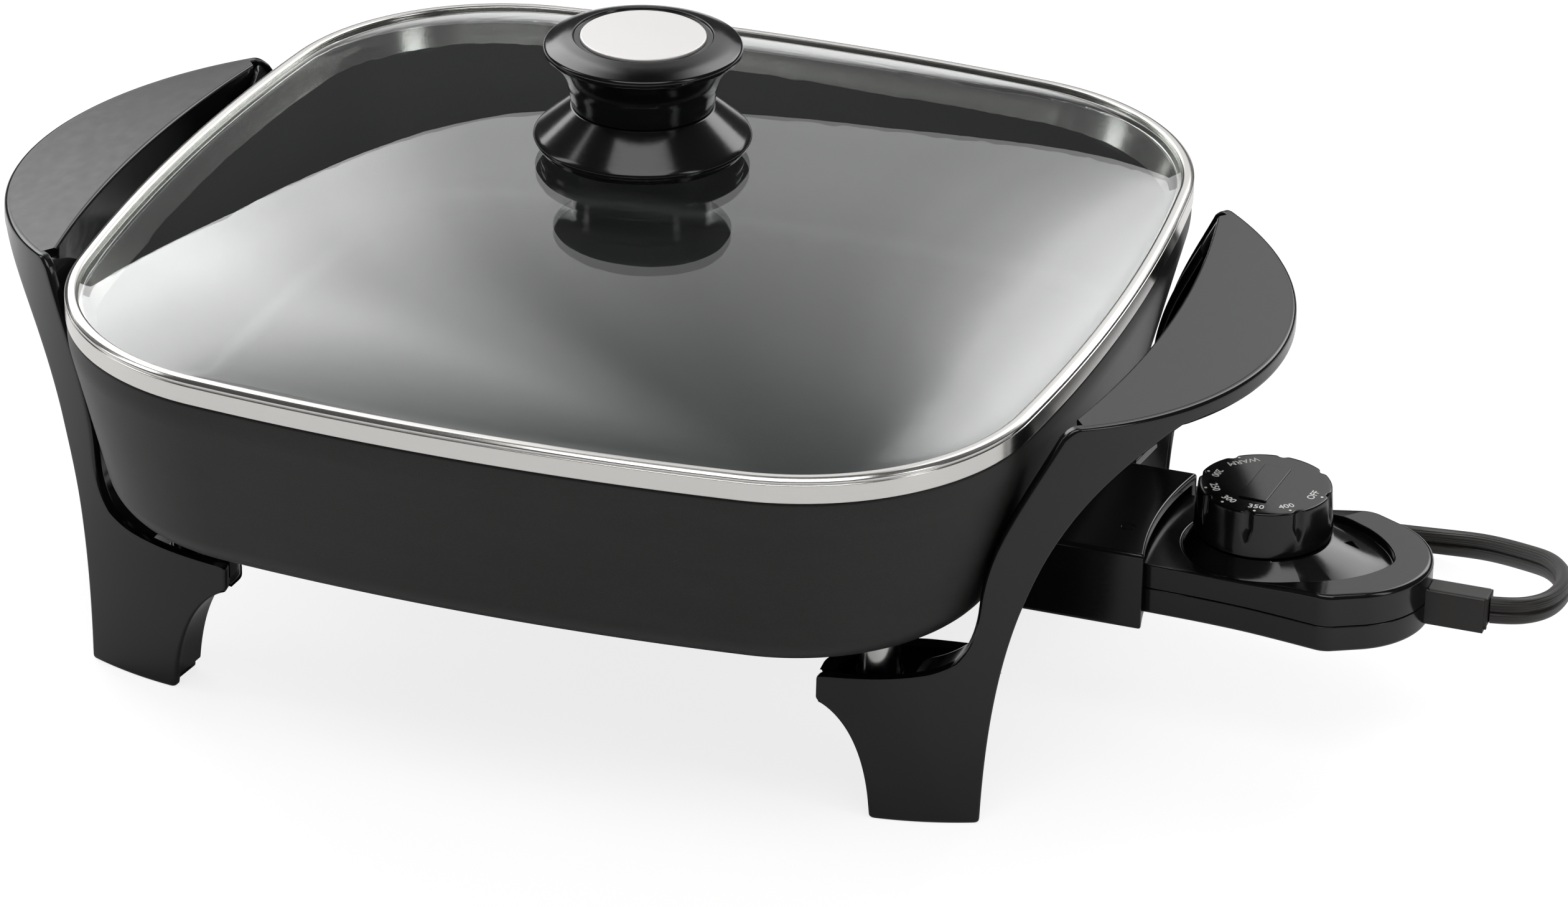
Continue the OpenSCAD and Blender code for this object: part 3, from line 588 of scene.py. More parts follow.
# Compression-moulded phenolic: deep black and glossy, faintly wavy, with light handling haze.
waves = add(tree, "ShaderNodeTexNoise", {"Scale": 90, "Detail": 2})
haze = add(tree, "ShaderNodeTexNoise", {"Scale": 35, "Detail": 4})
relief_bump = add(tree, "ShaderNodeBump", {"Strength": 0.12, "Distance": 0.03 * mm,
    "Height": waves.outputs["Fac"]})
rough = add(tree, "ShaderNodeMapRange", {"Value": haze.outputs["Fac"], "To Min": 0.09, "To Max": 0.2})
surface = add(tree, "ShaderNodeBsdfPrincipled", {"Base Color": colour("#0c0c0d"), "IOR": 1.5,
    "Roughness": rough.outputs["Result"], "Normal": relief_bump.outputs["Normal"]})
add(tree, "ShaderNodeOutputMaterial", {"Surface": surface.outputs[0]})


def cubic(c, t):
    """Point on a cubic curve in the side view."""
    w = ((1 - t) ** 3, 3 * t * (1 - t) ** 2, 3 * t * t * (1 - t), t ** 3)
    return sum(k * p[0] for k, p in zip(w, c)), sum(k * p[1] for k, p in zip(w, c))


def grip_top(x):
    """Height of the grip's sloping top."""
    return grip_z - 0.07 * (x - 151)


def cone_r(z):
    """Radius of the frame's skin at a height, rounded in at the sole."""
    low = max(edge_r - z, 0)
    return skin_r0 + (skin_r1 - skin_r0) * z / grip_z - (edge_r - sqrt(max(edge_r ** 2 - low ** 2, 0)))


def frame_point(x, z, depth, side, level_in=False):
    """A point of the skin in the side view, moved in by a depth, square to its face or straight in."""
    r = cone_r(z)
    if level_in:
        return x, side * sqrt((r - depth) ** 2 - (x - skin_x) ** 2), z
    c = min((x - skin_x) / r, 1)
    s = sqrt(1 - c * c)
    return x - depth * c, side * (r - depth) * s, z


def grip_edge(angle, down):
    """A point of the grip's outer face at an angle round the skin's axis, below its top."""
    z = 116
    for _ in range(4):
        x = skin_x + cone_r(z) * cos(angle)
        z = grip_top(x) - down
    return x, z


def between(a, b, steps):
    """Values from a up to but not at b."""
    return [a + (b - a) * i / steps for i in range(steps)]


quarter = [pi / 2 * k / 4 for k in range(5)]


def eased(radius):
    """How far a rounded edge stays behind its corner along one side and along the other, in steps."""
    return [(radius * (1 - cos(a)), radius * (1 - sin(a))) for a in quarter]


def frame_sections():
    """Pairs of edge points of the skin, lower and upper, from the grip's middle to the sole."""
    tip_x = 154
    shelf_x = 89.2
    nose_r = 1.2
    pairs = [(grip_edge(a, grip_rim), grip_edge(a, 0)) for a in between(0, radians(31.5), 28)]
    top_out = grip_edge(radians(33.5), 0)[0]
    tip = [(x, grip_top(x)) for x in between(top_out, tip_x, 12)]
    tip += [(tip_x - 1.6 * t * (2 - t) - 2 * t * t, 117.8 + 0.4 * t * (1 - t) - 2.3 * t * t)
        for t in between(0, 1, 6)]
    spans = [(1, 0.84, tip), (0.84, 0.56, [cubic(leg_inner, t) for t in between(0.05, 1, 26)]),
        (0.56, 0.37, [cubic(leg_sweep, t) for t in between(0, 1, 24)]),
        (0.37, 0.31, [(x, shelf_z1) for x in between(104, shelf_x, 8)]
            + arc(shelf_x, shelf_z1 - nose_r, nose_r, pi / 2, pi, 5)),
        (0.31, 0.29, arc(shelf_x, shelf_z0 + nose_r, nose_r, pi, pi * 1.45, 5)),
        (0.29, 0.012, [cubic(leg_under, t) for t in between(0.04, 0.985, 30)])]
    for start, end, upper in spans:
        pairs += [(cubic(leg_outer, start + (end - start) * i / len(upper)), p)
            for i, p in enumerate(upper)]
    return pairs + [((sole_out - u, v), (sole_in + u, v)) for u, v in eased(nose_r)]


def across(pair, along, depth, side, from_top=False, level_in=False):
    """A point at a distance from the lower edge of a section, or from its upper one, and a depth."""
    low, high = Vector(pair[0]), Vector(pair[1])
    way = (high - low).normalized()
    spot = high - way * along if from_top else low + way * along
    return frame_point(spot.x, spot.y, depth, side, level_in)


inner_edge = 0.6


def skin_ring(pair, side):
    """The skin's cross-section at one pair of edge points: both faces and four rounded edges."""
    length = (Vector(pair[1]) - Vector(pair[0])).length
    ring = [across(pair, u, v, side) for u, v in eased(edge_r)]
    ring += [across(pair, edge_r + (length - 2 * edge_r) * k / 14, 0, side) for k in range(1, 14)]
    ring += [across(pair, v, u, side, True) for u, v in eased(edge_r)]
    ring += [across(pair, u, skin_t - v, side, True) for u, v in eased(inner_edge)]
    ring += [across(pair, inner_edge + (length - 2 * inner_edge) * k / 8, skin_t, side, True)
        for k in range(1, 8)]
    ring += [across(pair, v, skin_t - u, side) for u, v in eased(inner_edge)]
    return ring


def flange_ring(pair, width, side, from_top, level_in=False):
    """Cross-section of a channel wall that goes in from an edge of the skin."""
    edge = 1.3
    sunk = 0.04
    spots = [(skin_t - 1, sunk), (width - edge, sunk)]
    spots += [(width - v, sunk + u) for u, v in eased(edge)[1:]]
    spots += [(width - u, skin_t - v) for u, v in eased(edge)]
    spots += [(skin_t - 1, skin_t)]
    return [across(pair, along, depth, side, from_top, level_in) for depth, along in spots]


def grip_ring(angle):
    """Cross-section of the grip's flat top and of the wall that goes down from its inner edge."""
    x, z = grip_edge(angle, 0)
    c, s = cos(angle), sin(angle)
    gap = grip_inner_x - grip_inner_r - skin_x
    reach = gap * c + sqrt(gap * gap * c * c + grip_inner_r ** 2 - gap * gap)
    width = cone_r(z) - reach
    depth = min(wall_depth, 3.6 + (width - 6) * 3)
    sunk = 0.03
    spots = [(skin_t - 1.4, sunk), (width - edge_r, sunk)]
    spots += [(width - v, u + sunk) for u, v in eased(edge_r)[1:]]
    spots += [(width - 0.35, depth * 0.5), (width - 0.7, depth - 1)]
    spots += [(width - 2.7 + 1.2 * cos(a), depth - 1 + sin(a)) for a in quarter[1:]]
    spots += [(width - 3.4, depth - 0.5), (width - skin_t, skin_t + 0.6), (width - skin_t - 0.6, skin_t),
        (skin_t - 1.4, skin_t)]
    ring = []
    for inward, down in spots:
        px = x - inward * c
        ring.append((px, sqrt(max(cone_r(z) ** 2 - (x - skin_x) ** 2, 0)) * (1 if s >= 0 else -1)
            - inward * s, grip_top(px) - down))
    return ring


def ramp(value, start, end):
    """Smooth step from 0 at start to 1 at end."""
    t = min(max((value - start) / (end - start), 0), 1)
    return t * t * (3 - 2 * t)


def mirrored_shells(shells, flip_x, flip_y):
    """The shells turned over across the axes whose factor is -1."""
    return [([(flip_x * x, flip_y * y, z) for x, y, z in points], faces) for points, faces in shells]


def tray_shells():
    """A leg's shelf, its upright inner wall and the boss that takes the post."""
    inner = rounded([(88.6, -95), (88.4, -89, 2), (92, -81, 3), (99, -74, 4), (108, -69, 5), (122, -67, 5),
        (131, -66.6)], 0, 4, closed=False)
    wall = [polar(x, y, -2.8, atan2(y + 88, x - 112)) for x, y in inner]
    outer = [polar(skin_x, 0, 98.4, radians(27 * k / 14 - 92.6)) for k in range(15)]
    return [slab(outer + inner[::-1], shelf_z0, shelf_z0 + skin_t, 0.5),
        slab(inner + wall[::-1], shelf_z0, shelf_z1, 0.8),
        turned(rounded(rectangle(2.2, 6.85, shelf_z0, boss_z), 0.5), (post_x, -post_y), 48, closed=True)]


def sole_shell():
    """The flat plate that closes a leg's channel at its foot."""
    sole_r = 99
    spread = [acos((x - skin_x) / sole_r) for x in (133, 126, 119, 112, 106)]
    loop = [polar(skin_x, 0, sole_r, a) for a in spread]
    loop += [polar(skin_x, 0, sole_r - 12.5, a) for a in spread[::-1]]
    return slab(loop, 0, skin_t, 0.7)


def handle_shells(flip):
    """Every shell of one frame; flip is -1 for the left one."""
    pairs = frame_sections()
    rings = [skin_ring(p, 1) for p in reversed(pairs)] + [skin_ring(p, -1) for p in pairs[1:]]
    tip_angle = radians(50.2)
    shells = [skin(rings), skin([grip_ring(tip_angle * (k / 32 - 1)) for k in range(65)])]
    thin = 4.4
    for side in (-1, 1):
        upper = [flange_ring(p, thin + (channel_d - thin) * ramp(p[1][1], 117, 111), side, True, True)
            for p in pairs if p[1][0] < 151.5 and 42.3 < p[1][1] < 117.2]
        under = [flange_ring(p, channel_d, side, True)
            for p in pairs if p[1][0] > 89.5 and 2 < p[1][1] < 33.2]
        lower = [flange_ring(p, thin + (channel_d - thin) * ramp(p[0][1], 110, 100), side, False)
            for p in pairs if 2 < p[0][1] < 110 and p[0][0] < 175]
        shells += [skin(upper), skin(under), skin(lower)]
        shells += mirrored_shells(tray_shells(), 1, -side) + mirrored_shells([sole_shell()], 1, side)
    return mirrored_shells(shells, flip, 1)


for name, flip in (("left", -1), ("right", 1)):
    piece(name + "_handle", "base", phenolic, handle_shells(flip), (name + "_handle_frame",))


# ---- Lid glass -----------------------------------------------------------------------------------
# A dome of clear tempered glass, pressed to the rim's outline, with a ground and polished edge and
# one hole in the middle of a flat pad for the knob's screw.
crown_z = 144.5
dome_rise = 24.6
dome_edge = 141
glass_edge = 143.9
glass_t = 4
glass_hole = 4.2
pad_share = 1 / 9
edge_round = 1.7

glass, tree = material("tempered_glass")
# Pressed and tempered glass: clear, a little greenish at the edge, with a very slight waviness.
path = add(tree, "ShaderNodeLightPath")
lets_light = add(tree, "ShaderNodeMath", {0: path.outputs["Is Shadow Ray"],
    1: path.outputs["Is Diffuse Ray"]}, operation="MAXIMUM")
waves = add(tree, "ShaderNodeTexNoise", {"Scale": 18, "Detail": 1})
ripple = add(tree, "ShaderNodeBump", {"Strength": 0.06, "Distance": 0.2 * mm,
    "Height": waves.outputs["Fac"]})
clear = add(tree, "ShaderNodeBsdfPrincipled", {"Base Color": colour("#fbfefd"), "Roughness": 0,
    "Transmission Weight": 1, "IOR": 1.52, "Normal": ripple.outputs["Normal"]})
passes = add(tree, "ShaderNodeBsdfTransparent", {"Color": colour("#f6faf9")})
mixed = add(tree, "ShaderNodeMixShader", {0: lets_light.outputs[0], 1: clear.outputs[0],
    2: passes.outputs[0]})
add(tree, "ShaderNodeOutputMaterial", {"Surface": mixed.outputs[0]})


def dome_z(share):
    """Height of the dome's upper face at a share of the way from crown to edge."""
    share = max(share, pad_share)
    return crown_z - dome_rise * (0.72 * share ** 2 + 0.28 * share ** 4)


def dome_share(x, y):
    """How far a point is from crown to edge: rings are round at the crown and squarer further out."""
    x, y = x / dome_edge, y / dome_edge
    square = sqrt(x ** 4 + y ** 4 + 0.066 * (x * y) ** 2)
    return sqrt(square + (x * x + y * y - square) * max(1 - square, 0) ** 2)


glass_loop = [Vector(p[:2]) for p in square_loop(dome_edge, 0, 52, 36)]


def dome_ring(share, down):
    """One ring of the dome; at its edge the height is brought to that of the ground edge."""
    ring = []
    for p in glass_loop:
        x, y = p * share
        off = dome_z(1) - dome_z(dome_share(*p))
        ring.append((x, y, dome_z(dome_share(x, y)) + off * share ** 8 - down))
    return ring


shares = [0.1 + 0.9 * i / 40 for i in range(41)]
hole_ring = [tuple(p.normalized() * glass_hole) for p in glass_loop]
rings = [[(x, y, dome_z(0)) for x, y in hole_ring]] + [dome_ring(s, 0) for s in shares]
for k in range(7):
    a = pi * k / 6
    rings.append(square_loop(glass_edge - edge_round + edge_round * sin(a),
        dome_z(1) - 0.2 - glass_t / 2 + glass_t / 2 * cos(a), 52, 36))
rings += [dome_ring(s, glass_t) for s in reversed(shares)]
rings.append([(x, y, dome_z(0) - glass_t) for x, y in hole_ring])
piece("lid_dome", "lid", glass, [skin(rings, closed=True)], ("lid_glass",), sharp=60,
    even=False)


# ---- Lid band ------------------------------------------------------------------------------------
# A roll-formed stainless band round the glass: a lip folded over the edge, a broad outer face with a
# fine groove under the lip, a seat that rests on the rim and a sloping skirt that centres the lid.
lip_z = 121
seat_z = 115.4
rest_z = rim_z + 0.2
skirt_half = 140.2
skirt_z = 108.6
skirt_end = 136.8
band_t = 0.8
groove_z = lip_z - 1.8
groove_deep = 0.3

stainless, tree = material("polished_stainless")
# Roll-formed and buffed stainless steel: nearly a mirror, with fine lines along the band that
# soften it a little. The lines are drawn about 0.4 mm apart, coarser than in life.
place_in = add(tree, "ShaderNodeTexCoord")
drawn = add(tree, "ShaderNodeMapping", {"Vector": place_in.outputs["Object"], "Scale": (6, 6, 2500)})
lines = add(tree, "ShaderNodeTexNoise", {"Vector": drawn.outputs["Vector"], "Scale": 1, "Detail": 3})
rough = add(tree, "ShaderNodeMapRange", {"Value": lines.outputs["Fac"], "To Min": 0.14, "To Max": 0.24})
surface = add(tree, "ShaderNodeBsdfPrincipled", {"Base Color": colour("#dedcd9"), "Metallic": 1,
    "Roughness": rough.outputs["Result"], "Anisotropic": 0.8, "Anisotropic Rotation": 0.25})
add(tree, "ShaderNodeOutputMaterial", {"Surface": surface.outputs[0]})

inner_face = band_half - band_t
lip_end = band_half - 3.5
groove_in = band_half - groove_deep
band_line = rounded([(skirt_half, rest_z, 0.25), (skirt_end, skirt_z, 0.38),
    (skirt_end - band_t, skirt_z, 0.38), (skirt_half - band_t, seat_z, 0.3), (inner_face, seat_z, 0.2),
    (inner_face, lip_z - 0.9, 0.2), (lip_end, lip_z - 0.8, 0.2), (lip_end, lip_z - 0.35, 0.2),
    (band_half - 2.9, lip_z, 0.6), (band_half - 1.1, lip_z, 0.9), (band_half, lip_z - 0.9, 0.6),
    (band_half, groove_z + 0.3, 0.15), (groove_in, groove_z + 0.1, 0.1), (groove_in, groove_z - 0.1, 0.1),
    (band_half, groove_z - 0.3, 0.15), (band_half, rest_z, 0.5)], 0.2, 4)
piece("lid_rim_band", "lid", stainless, [skin([square_loop(half, z) for half, z in band_line],
    closed=True)], ("lid_band",))


# ---- Lid knob ------------------------------------------------------------------------------------
# A conical heat flange and a flared grip, both turned-looking mouldings in the handles' black
# phenolic, clamped through the glass by one screw, with a washer below and a silicone gasket above.
# A plain satin aluminium disc is pressed into the grip's top.
flange_z = crown_z + 1
flange_r = 31.1
knob_r = 28.2
knob_z = 179.2
knob_bore = 2.6
neck_z = 158.2
neck_r = 20.2
rim_top = knob_z - 3
badge_z = knob_z - 1.2

# Stamped aluminium with a satin anodised face: pale, with a soft, slightly grainy sheen.
satin_disc = grained("satin_aluminium_disc", 2200, 2, {"Base Color": colour("#dcdad9"), "Metallic": 0.75},
    rough=(0.42, 0.58))
# Moulded silicone: matt dark grey with a dusty bloom.
silicone = grained("silicone_rubber", 150, 3, {"Roughness": 0.6, "IOR": 1.41}, ("#2c2c2c", "#3a3a39"))

flange_line = rounded([(knob_bore, flange_z, 0.2), (12, flange_z, 0.3), (12, neck_z - 2, 1),
    (18.8, neck_z - 2, 1), (27.6, flange_z + 3.2, 0.5), (27.6, flange_z, 0.3), (29.2, flange_z, 0.4),
    (29.6, flange_z + 1.9, 0.3), (30.8, flange_z + 2.1, 0.3), (flange_r, flange_z + 2.6, 0.5),
    (flange_r, flange_z + 3.6, 0.8), (30.4, flange_z + 4.4, 0.8), (20.6, neck_z - 0.1, 0.4),
    (neck_r, neck_z, 0.2), (knob_bore, neck_z, 0.1)], 0.5, 5)
piece("knob_heat_flange", "lid", phenolic, [turned(flange_line, steps=160, closed=True)],
    ("knob_flange",))

flare_r = 21.3
flare_z = neck_z + 5.4
flare = [(flare_r + (knob_r - flare_r) * (i / 16) ** 1.8, flare_z + (rim_top - 1.6 - flare_z) * i / 16)
    for i in range(1, 17)]
grip_line = rounded([(knob_bore, neck_z, 0.2), (neck_r, neck_z, 0.8), (flare_r, flare_z, 2)], 1, 5,
    closed=False) + flare
grip_line += rounded([flare[-1], (knob_r, rim_top + 0.1, 0.9), (24, knob_z - 1.1, 4),
    (19.9, knob_z - 0.15, 0.35), (19.7, knob_z - 0.9, 0.25), (18.15, knob_z - 0.9, 0.2),
    (18.15, badge_z, 0)], 0.6, 5, closed=False)[1:]
grip_line += [(0, badge_z), (0, neck_z + 7), (knob_bore, neck_z + 7)]
piece("knob_finger_grip", "lid", phenolic, [turned(grip_line, steps=160, closed=True)],
    ("knob_grip",))
disc_line = rounded([(0, badge_z), (17.9, badge_z), (17.9, knob_z - 0.15, 0.45), (0, knob_z)], 0.2, 4,
    closed=False)
piece("knob_disc", "lid", satin_disc, [turned(disc_line, steps=160)], ("knob_badge",))

pad_z = dome_z(0)
piece("glass_gasket", "lid", silicone,
    [turned(rounded(rectangle(knob_bore + 2, 14, pad_z, flange_z), 0.4), closed=True)], ("knob_gasket",))
washer_t = 1.2
washer_z = pad_z - glass_t - washer_t
piece("glass_washer", "lid", zinc, [turned(rounded(
    rectangle(knob_bore, 8, washer_z, washer_z + washer_t), 0.3), steps=72, closed=True)], ("knob_washer",))
screw_end = washer_z + 24
screw_line = rounded([(0, washer_z - 1.8, 0), (0.8, washer_z - 1.9), (0.9, washer_z - 3),
    (3.6, washer_z - 3), (4.5, washer_z - 1.6), (4.5, washer_z), (2.5, washer_z, 0),
    (2.5, screw_end, 0.5), (0, screw_end, 0)], 0.5, closed=False)
piece("lid_screw", "lid", zinc, [turned(screw_line, steps=48)], ("knob_screw",))


# ---- Heating element and terminals ---------------------------------------------------------------
# A tubular element, clamped between the vessel's two rings by the casting, with two bright pins on
# ceramic bushes that point out to the right under the pan.
def finish(node, made_of):
    """Gives a CAD node its real surface."""
    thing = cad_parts[node]
    thing.data.materials.clear()
    thing.data.materials.append(made_of)


sheath, tree = material("element_sheath")
# Heater sheath of drawn steel: dull brown-grey, with straw and blue heat tints in patches.
tint = add(tree, "ShaderNodeTexNoise", {"Scale": 30, "Detail": 3})
tone = add(tree, "ShaderNodeValToRGB", {"Fac": tint.outputs["Fac"]})
tone.color_ramp.elements[0].color = colour("#4c4640")
tone.color_ramp.elements[1].color = colour("#7c7263")
middle = tone.color_ramp.elements.new(0.55)
middle.color = colour("#575a5e")
surface = add(tree, "ShaderNodeBsdfPrincipled", {"Base Color": tone.outputs["Color"], "Metallic": 1,
    "Roughness": 0.4})
add(tree, "ShaderNodeOutputMaterial", {"Surface": surface.outputs[0]})
finish("heating_element", sheath)

# Pressed and fired steatite: matt cream with tiny specks.
steatite = grained("steatite_ceramic", 900, 2, {"Roughness": 0.55, "IOR": 1.56}, ("#ddd6c6", "#ece7da"))

pin_y = 13
pin_r = 2.4
pin_line = rounded([(0, 0), (pin_r, 0, 0.3), (pin_r, 42.6, 1.2), (1.5, 46, 0.8), (0, 46)], 0.3, 4,
    closed=False)
piece("element_pins", "base", bright_steel,
    [lying(turned(pin_line, steps=40), 104, y, well_z) for y in (-pin_y, pin_y)], ("terminal_pins",))
bush_line = rounded([(pin_r, 0), (5, 0), (5, 5), (6, 5), (6, 9.9), (5, 9.9), (5, 14), (pin_r, 14)], 0.3)
piece("pin_bushes", "base", steatite,
    [lying(turned(bush_line, steps=48, closed=True), 108, y, well_z) for y in (-pin_y, pin_y)],
    ("terminal_blocks",))


# ---- Plug guard ----------------------------------------------------------------------------------
# A rectangular hood in the same black phenolic round the pins, screwed up to two bosses on the
# vessel. Its mouth is hollowed, and takes the nose of the heat control.
guard_x0 = 118
guard_half = 27.5
guard_z0 = 33
guard_t = 3
mouth_r = 115
mouth_x = 156.8
ear_z = 46


def baked(thing):
    """A mesh of the object as it stands with its modifiers."""
    depsgraph = bpy.context.evaluated_depsgraph_get()
    return bpy.data.meshes.new_from_object(thing.evaluated_get(depsgraph))


def carve(thing, cuts, sharp=50):
    """Cuts closed shells out of a piece."""
    cutter = solid("cutter", cuts)
    cut = thing.modifiers.new("cut", "BOOLEAN")
    cut.object = cutter
    cut.operation = "DIFFERENCE"
    cut.solver = "EXACT"
    cut.use_self = True
    for other in [m for m in thing.modifiers if m != cut]:
        other.show_viewport = False
    thing.data = baked(thing)
    thing.modifiers.remove(cut)
    for other in thing.modifiers:
        other.show_viewport = True
    shade(thing.data, sharp)
    bpy.data.objects.remove(cutter)


def mouth(y, deep=0):
    """Reach of the guard's mouth at a distance from its middle."""
    return mouth_x + mouth_r - sqrt(mouth_r ** 2 - y ** 2) - deep


guard_mid = (guard_z0 + base_z) / 2
guard_up = (base_z - guard_z0) / 2 - 0.1


def guard_ring(inset, radius, x=None, deep=0):
    """The hood's cross-section, level at x or following the hollowed mouth."""
    loop = rounded_box(guard_half - inset, guard_up - inset, radius)
    spots = []
    for i, (y, z) in enumerate(loop):
        next_y, next_z = loop[(i + 1) % len(loop)]
        spots.append((y, z))
        if abs(next_y - y) > guard_half:
            spots += [(y + (next_y - y) * k / 24, z + (next_z - z) * k / 24) for k in range(1, 24)]
    return [(mouth(y, deep) if x is None else x, y, guard_mid + z) for y, z in spots]


rings = [guard_ring(0.7, 0.6, guard_x0), guard_ring(0.2, 1.1, guard_x0 + 0.2)]
rings += [guard_ring(0, 1.3, x) for x in (guard_x0 + 0.7, 130, 145, 153)]
rings += [guard_ring(0, 1.3, deep=0.7), guard_ring(0.15, 1.2, deep=0.25), guard_ring(0.6, 0.9),
    guard_ring(guard_t - 0.6, 0.5), guard_ring(guard_t - 0.15, 0.4, deep=0.2),
    guard_ring(guard_t, 0.4, deep=0.6)]
rings += [guard_ring(guard_t, 0.4, x) for x in (150, 140, guard_x0 + guard_t)]
hood = [skin(rings)]
ear_x = 104
ear_end = guard_x0 + 1
for _, y in guard_places:
    hood.append(slab(rounded([(ear_x, y - 4), (ear_end, y - 4, 0), (ear_end, y + 4, 0), (ear_x, y + 4)], 2),
        ear_z, ear_z + 4, 0.5))
guard = piece("plug_guard", "base", phenolic, hood, ("probe_guard",))
# Holes for the pins, the probe and the two screws, and the ring an ejector pin leaves on the top.
holes = [lying(turned(rectangle(0, r, 0, 8), steps=40), guard_x0 - 2, y, well_z)
    for y, r in ((-pin_y, 5.1), (0, 4), (pin_y, 5.1))]
holes += [turned(rectangle(0, 2, 44, 52), screw_place, 32) for screw_place in guard_places]
holes.append(turned(rectangle(1.75, 2, base_z - 0.35, base_z + 1), (151, -12), 32, closed=True))
carve(guard, holes)

bolt_line = rounded([(0, 45), (1, 45), (1.1, 43.6), (2.6, 43.6), (3.5, 44.6), (3.5, ear_z), (1.7, ear_z, 0),
    (1.7, 55, 0.4), (0, 55, 0)], 0.4, closed=False)
piece("guard_bolts", "base", zinc,
    [turned(bolt_line, screw_place, 40) for screw_place in guard_places], ("guard_screws",))


# ---- Heat control cases --------------------------------------------------------------------------
# Two glossy black phenolic mouldings that meet at a fine seam and are screwed together from below.
# The upper one has a drop-shaped dish for the dial, whose floor rises to a collar under it, with an
# index mark. A raised rim grows out of the flat top and runs round the dish at the cord's end.
case_x0 = 140
case_x = 210
case_r = 26
shoulder = (211.5, 19.6)
shoulder_r = 8
case_z0 = 36.3
case_z1 = 52
seam_z = 44.4
case_t = 2.2
border_z = 54.2
dial_x = 187
dish_z = 51.4
dish_r = 22.8
dish_tip = 15.4
collar_r = 19.2
collar_z = 56.9
screw_places = ((161.5, 18.5), (214, 18))


def case_loop():
    """Plan of the case, anticlockwise from its nose."""
    sides = [(case_x0, 22.6), (150, 22.7), (160, 22.9), (168, 23.1), (175, 23.35), (181, 23.7),
        (187, 24.15), (192, 24.7), (197, 25.4), (202, 26.15)]
    off = shoulder[0] - case_x
    way = atan2(shoulder[1], off) - acos((case_r - shoulder_r) / hypot(off, shoulder[1]))
    side_way = radians(98.6)
    line = [tuple(p)[:2] for p in smooth_line([(x, -y, 0) for x, y in sides], 3)]
    line += arc(shoulder[0], -shoulder[1], shoulder_r, -side_way, -way, 10)
    line += arc(case_x, 0, case_r, -way, way, 56)[1:-1]
    line += arc(shoulder[0], shoulder[1], shoulder_r, way, side_way, 10)
    line += [tuple(p)[:2] for p in smooth_line([(x, y, 0) for x, y in sides[::-1]], 3)]
    nose = [(case_x0, 22.6 - 45.2 * i / 12) for i in range(1, 12)]
    line[0] += (0.8,)
    line[-1] += (0.8,)
    return rounded(line, 0, 5) + nose


plan = case_loop()


def dish_reach(angle):
    """Distance of the dish's edge from the dial's axis in a direction."""
    turn = max(1 - (hypot(degrees(angle), 6) - 6) / 84, 0)
    return dish_r + dish_tip * turn ** 1.6


def dish_ring(share, z):
    """One level line inside the dish, from the collar's top at share 0 to the edge at share 1."""
    ring = []
    for x, y in plan:
        angle = atan2(y, x - dial_x)
        r = collar_r + (dish_reach(angle) - collar_r) * share
        ring.append((*polar(dial_x, 0, r, angle), z))
    return ring


def level(inset, z):
    """The case's plan at a height, moved in by a distance."""
    return [(x, y, z) for x, y in pushed(plan, inset)]


def crest(x):
    """Height of the case's top, which rises into the rim."""
    return case_z1 + (border_z - case_z1) * ramp(x, 180, 212)


def top_ring(turn, at_dish):
    """A line round the rounded outer edge of the top, or round its edge at the dish."""
    ring = []
    for (x, y), inner in zip(plan, dish_ring(1, 0)):
        gap = Vector((inner[0] - x, inner[1] - y))
        edge = 0.45 if at_dish else 0.7 + 0.9 * ramp(x, 178, 205)
        along = edge * (1 - cos(turn)) / gap.length
        if at_dish:
            along = 1 - along
        ring.append((x + gap.x * along, y + gap.y * along, crest(x) - edge * (1 - sin(turn))))
    return ring


top_turns = [pi / 2 * k / 6 for k in range(7)]
upper = [level(0.35, seam_z + 0.1), level(0.1, seam_z + 0.18), level(0, seam_z + 0.4), level(0, 48)]
upper += [top_ring(turn, False) for turn in top_turns] + [top_ring(turn, True) for turn in top_turns[::-1]]
upper += [dish_ring(1, dish_z + 0.5), dish_ring(0.99, dish_z + 0.25), dish_ring(0.97, dish_z + 0.12)]
for k in range(2, 21):
    share = 1 - k / 20
    upper.append(dish_ring(share, dish_z + (collar_z - dish_z) * (1 - share) ** 1.25))
upper.append([(*polar(dial_x, 0, 6, atan2(y, x - dial_x)), collar_z) for x, y in plan])
upper_case = piece("control_top_case", "heat_control", phenolic, [skin(upper)],
    ("control_upper_case",))

case_edge = 1.4
lower = []
for k in range(6):
    a = pi / 2 * k / 5
    lower.append(level(case_edge * (1 - sin(a)), case_z0 + case_edge * (1 - cos(a))))
lower += [level(0, 41), level(0, seam_z - 0.4), level(0.1, seam_z - 0.18), level(0.35, seam_z - 0.1)]
lower_case = piece("control_bottom_case", "heat_control", phenolic, [skin(lower)],
    ("control_lower_case",))

# Both cases are hollow, and open for the pins, the probe and the strain relief. The upper one has the
# shaft's hole and a small three-cornered index mark, the lower one four stepped bores for its screws.
inside = pushed(plan, case_t)
openings = [lying(turned(rectangle(0, r, 0, 5), steps=40), case_x0 - 1, y, well_z)
    for y, r in ((-pin_y, 4), (pin_y, 4), (0, 3))]
openings.append(slab(rectangle(231, 239, -3, 3), 38.4, 48.4, 0.2))
mark = [(209.9, 3), (214.4, 3.7), (211.2, 6.9)]
carve(upper_case, openings + [slab(inside, seam_z - 1, 49.2, 0.4), slab(mark, 53.4, 58, 0.1, 2),
    turned(rectangle(0, 3.2, 46, 60), (dial_x, 0), 48)])
bores = [turned([(0, 30), (2.8, 30), (2.8, 39.3), (1.6, 39.3), (1.6, 50), (0, 50)], (x, side * y), 36)
    for x, y in screw_places for side in (-1, 1)]
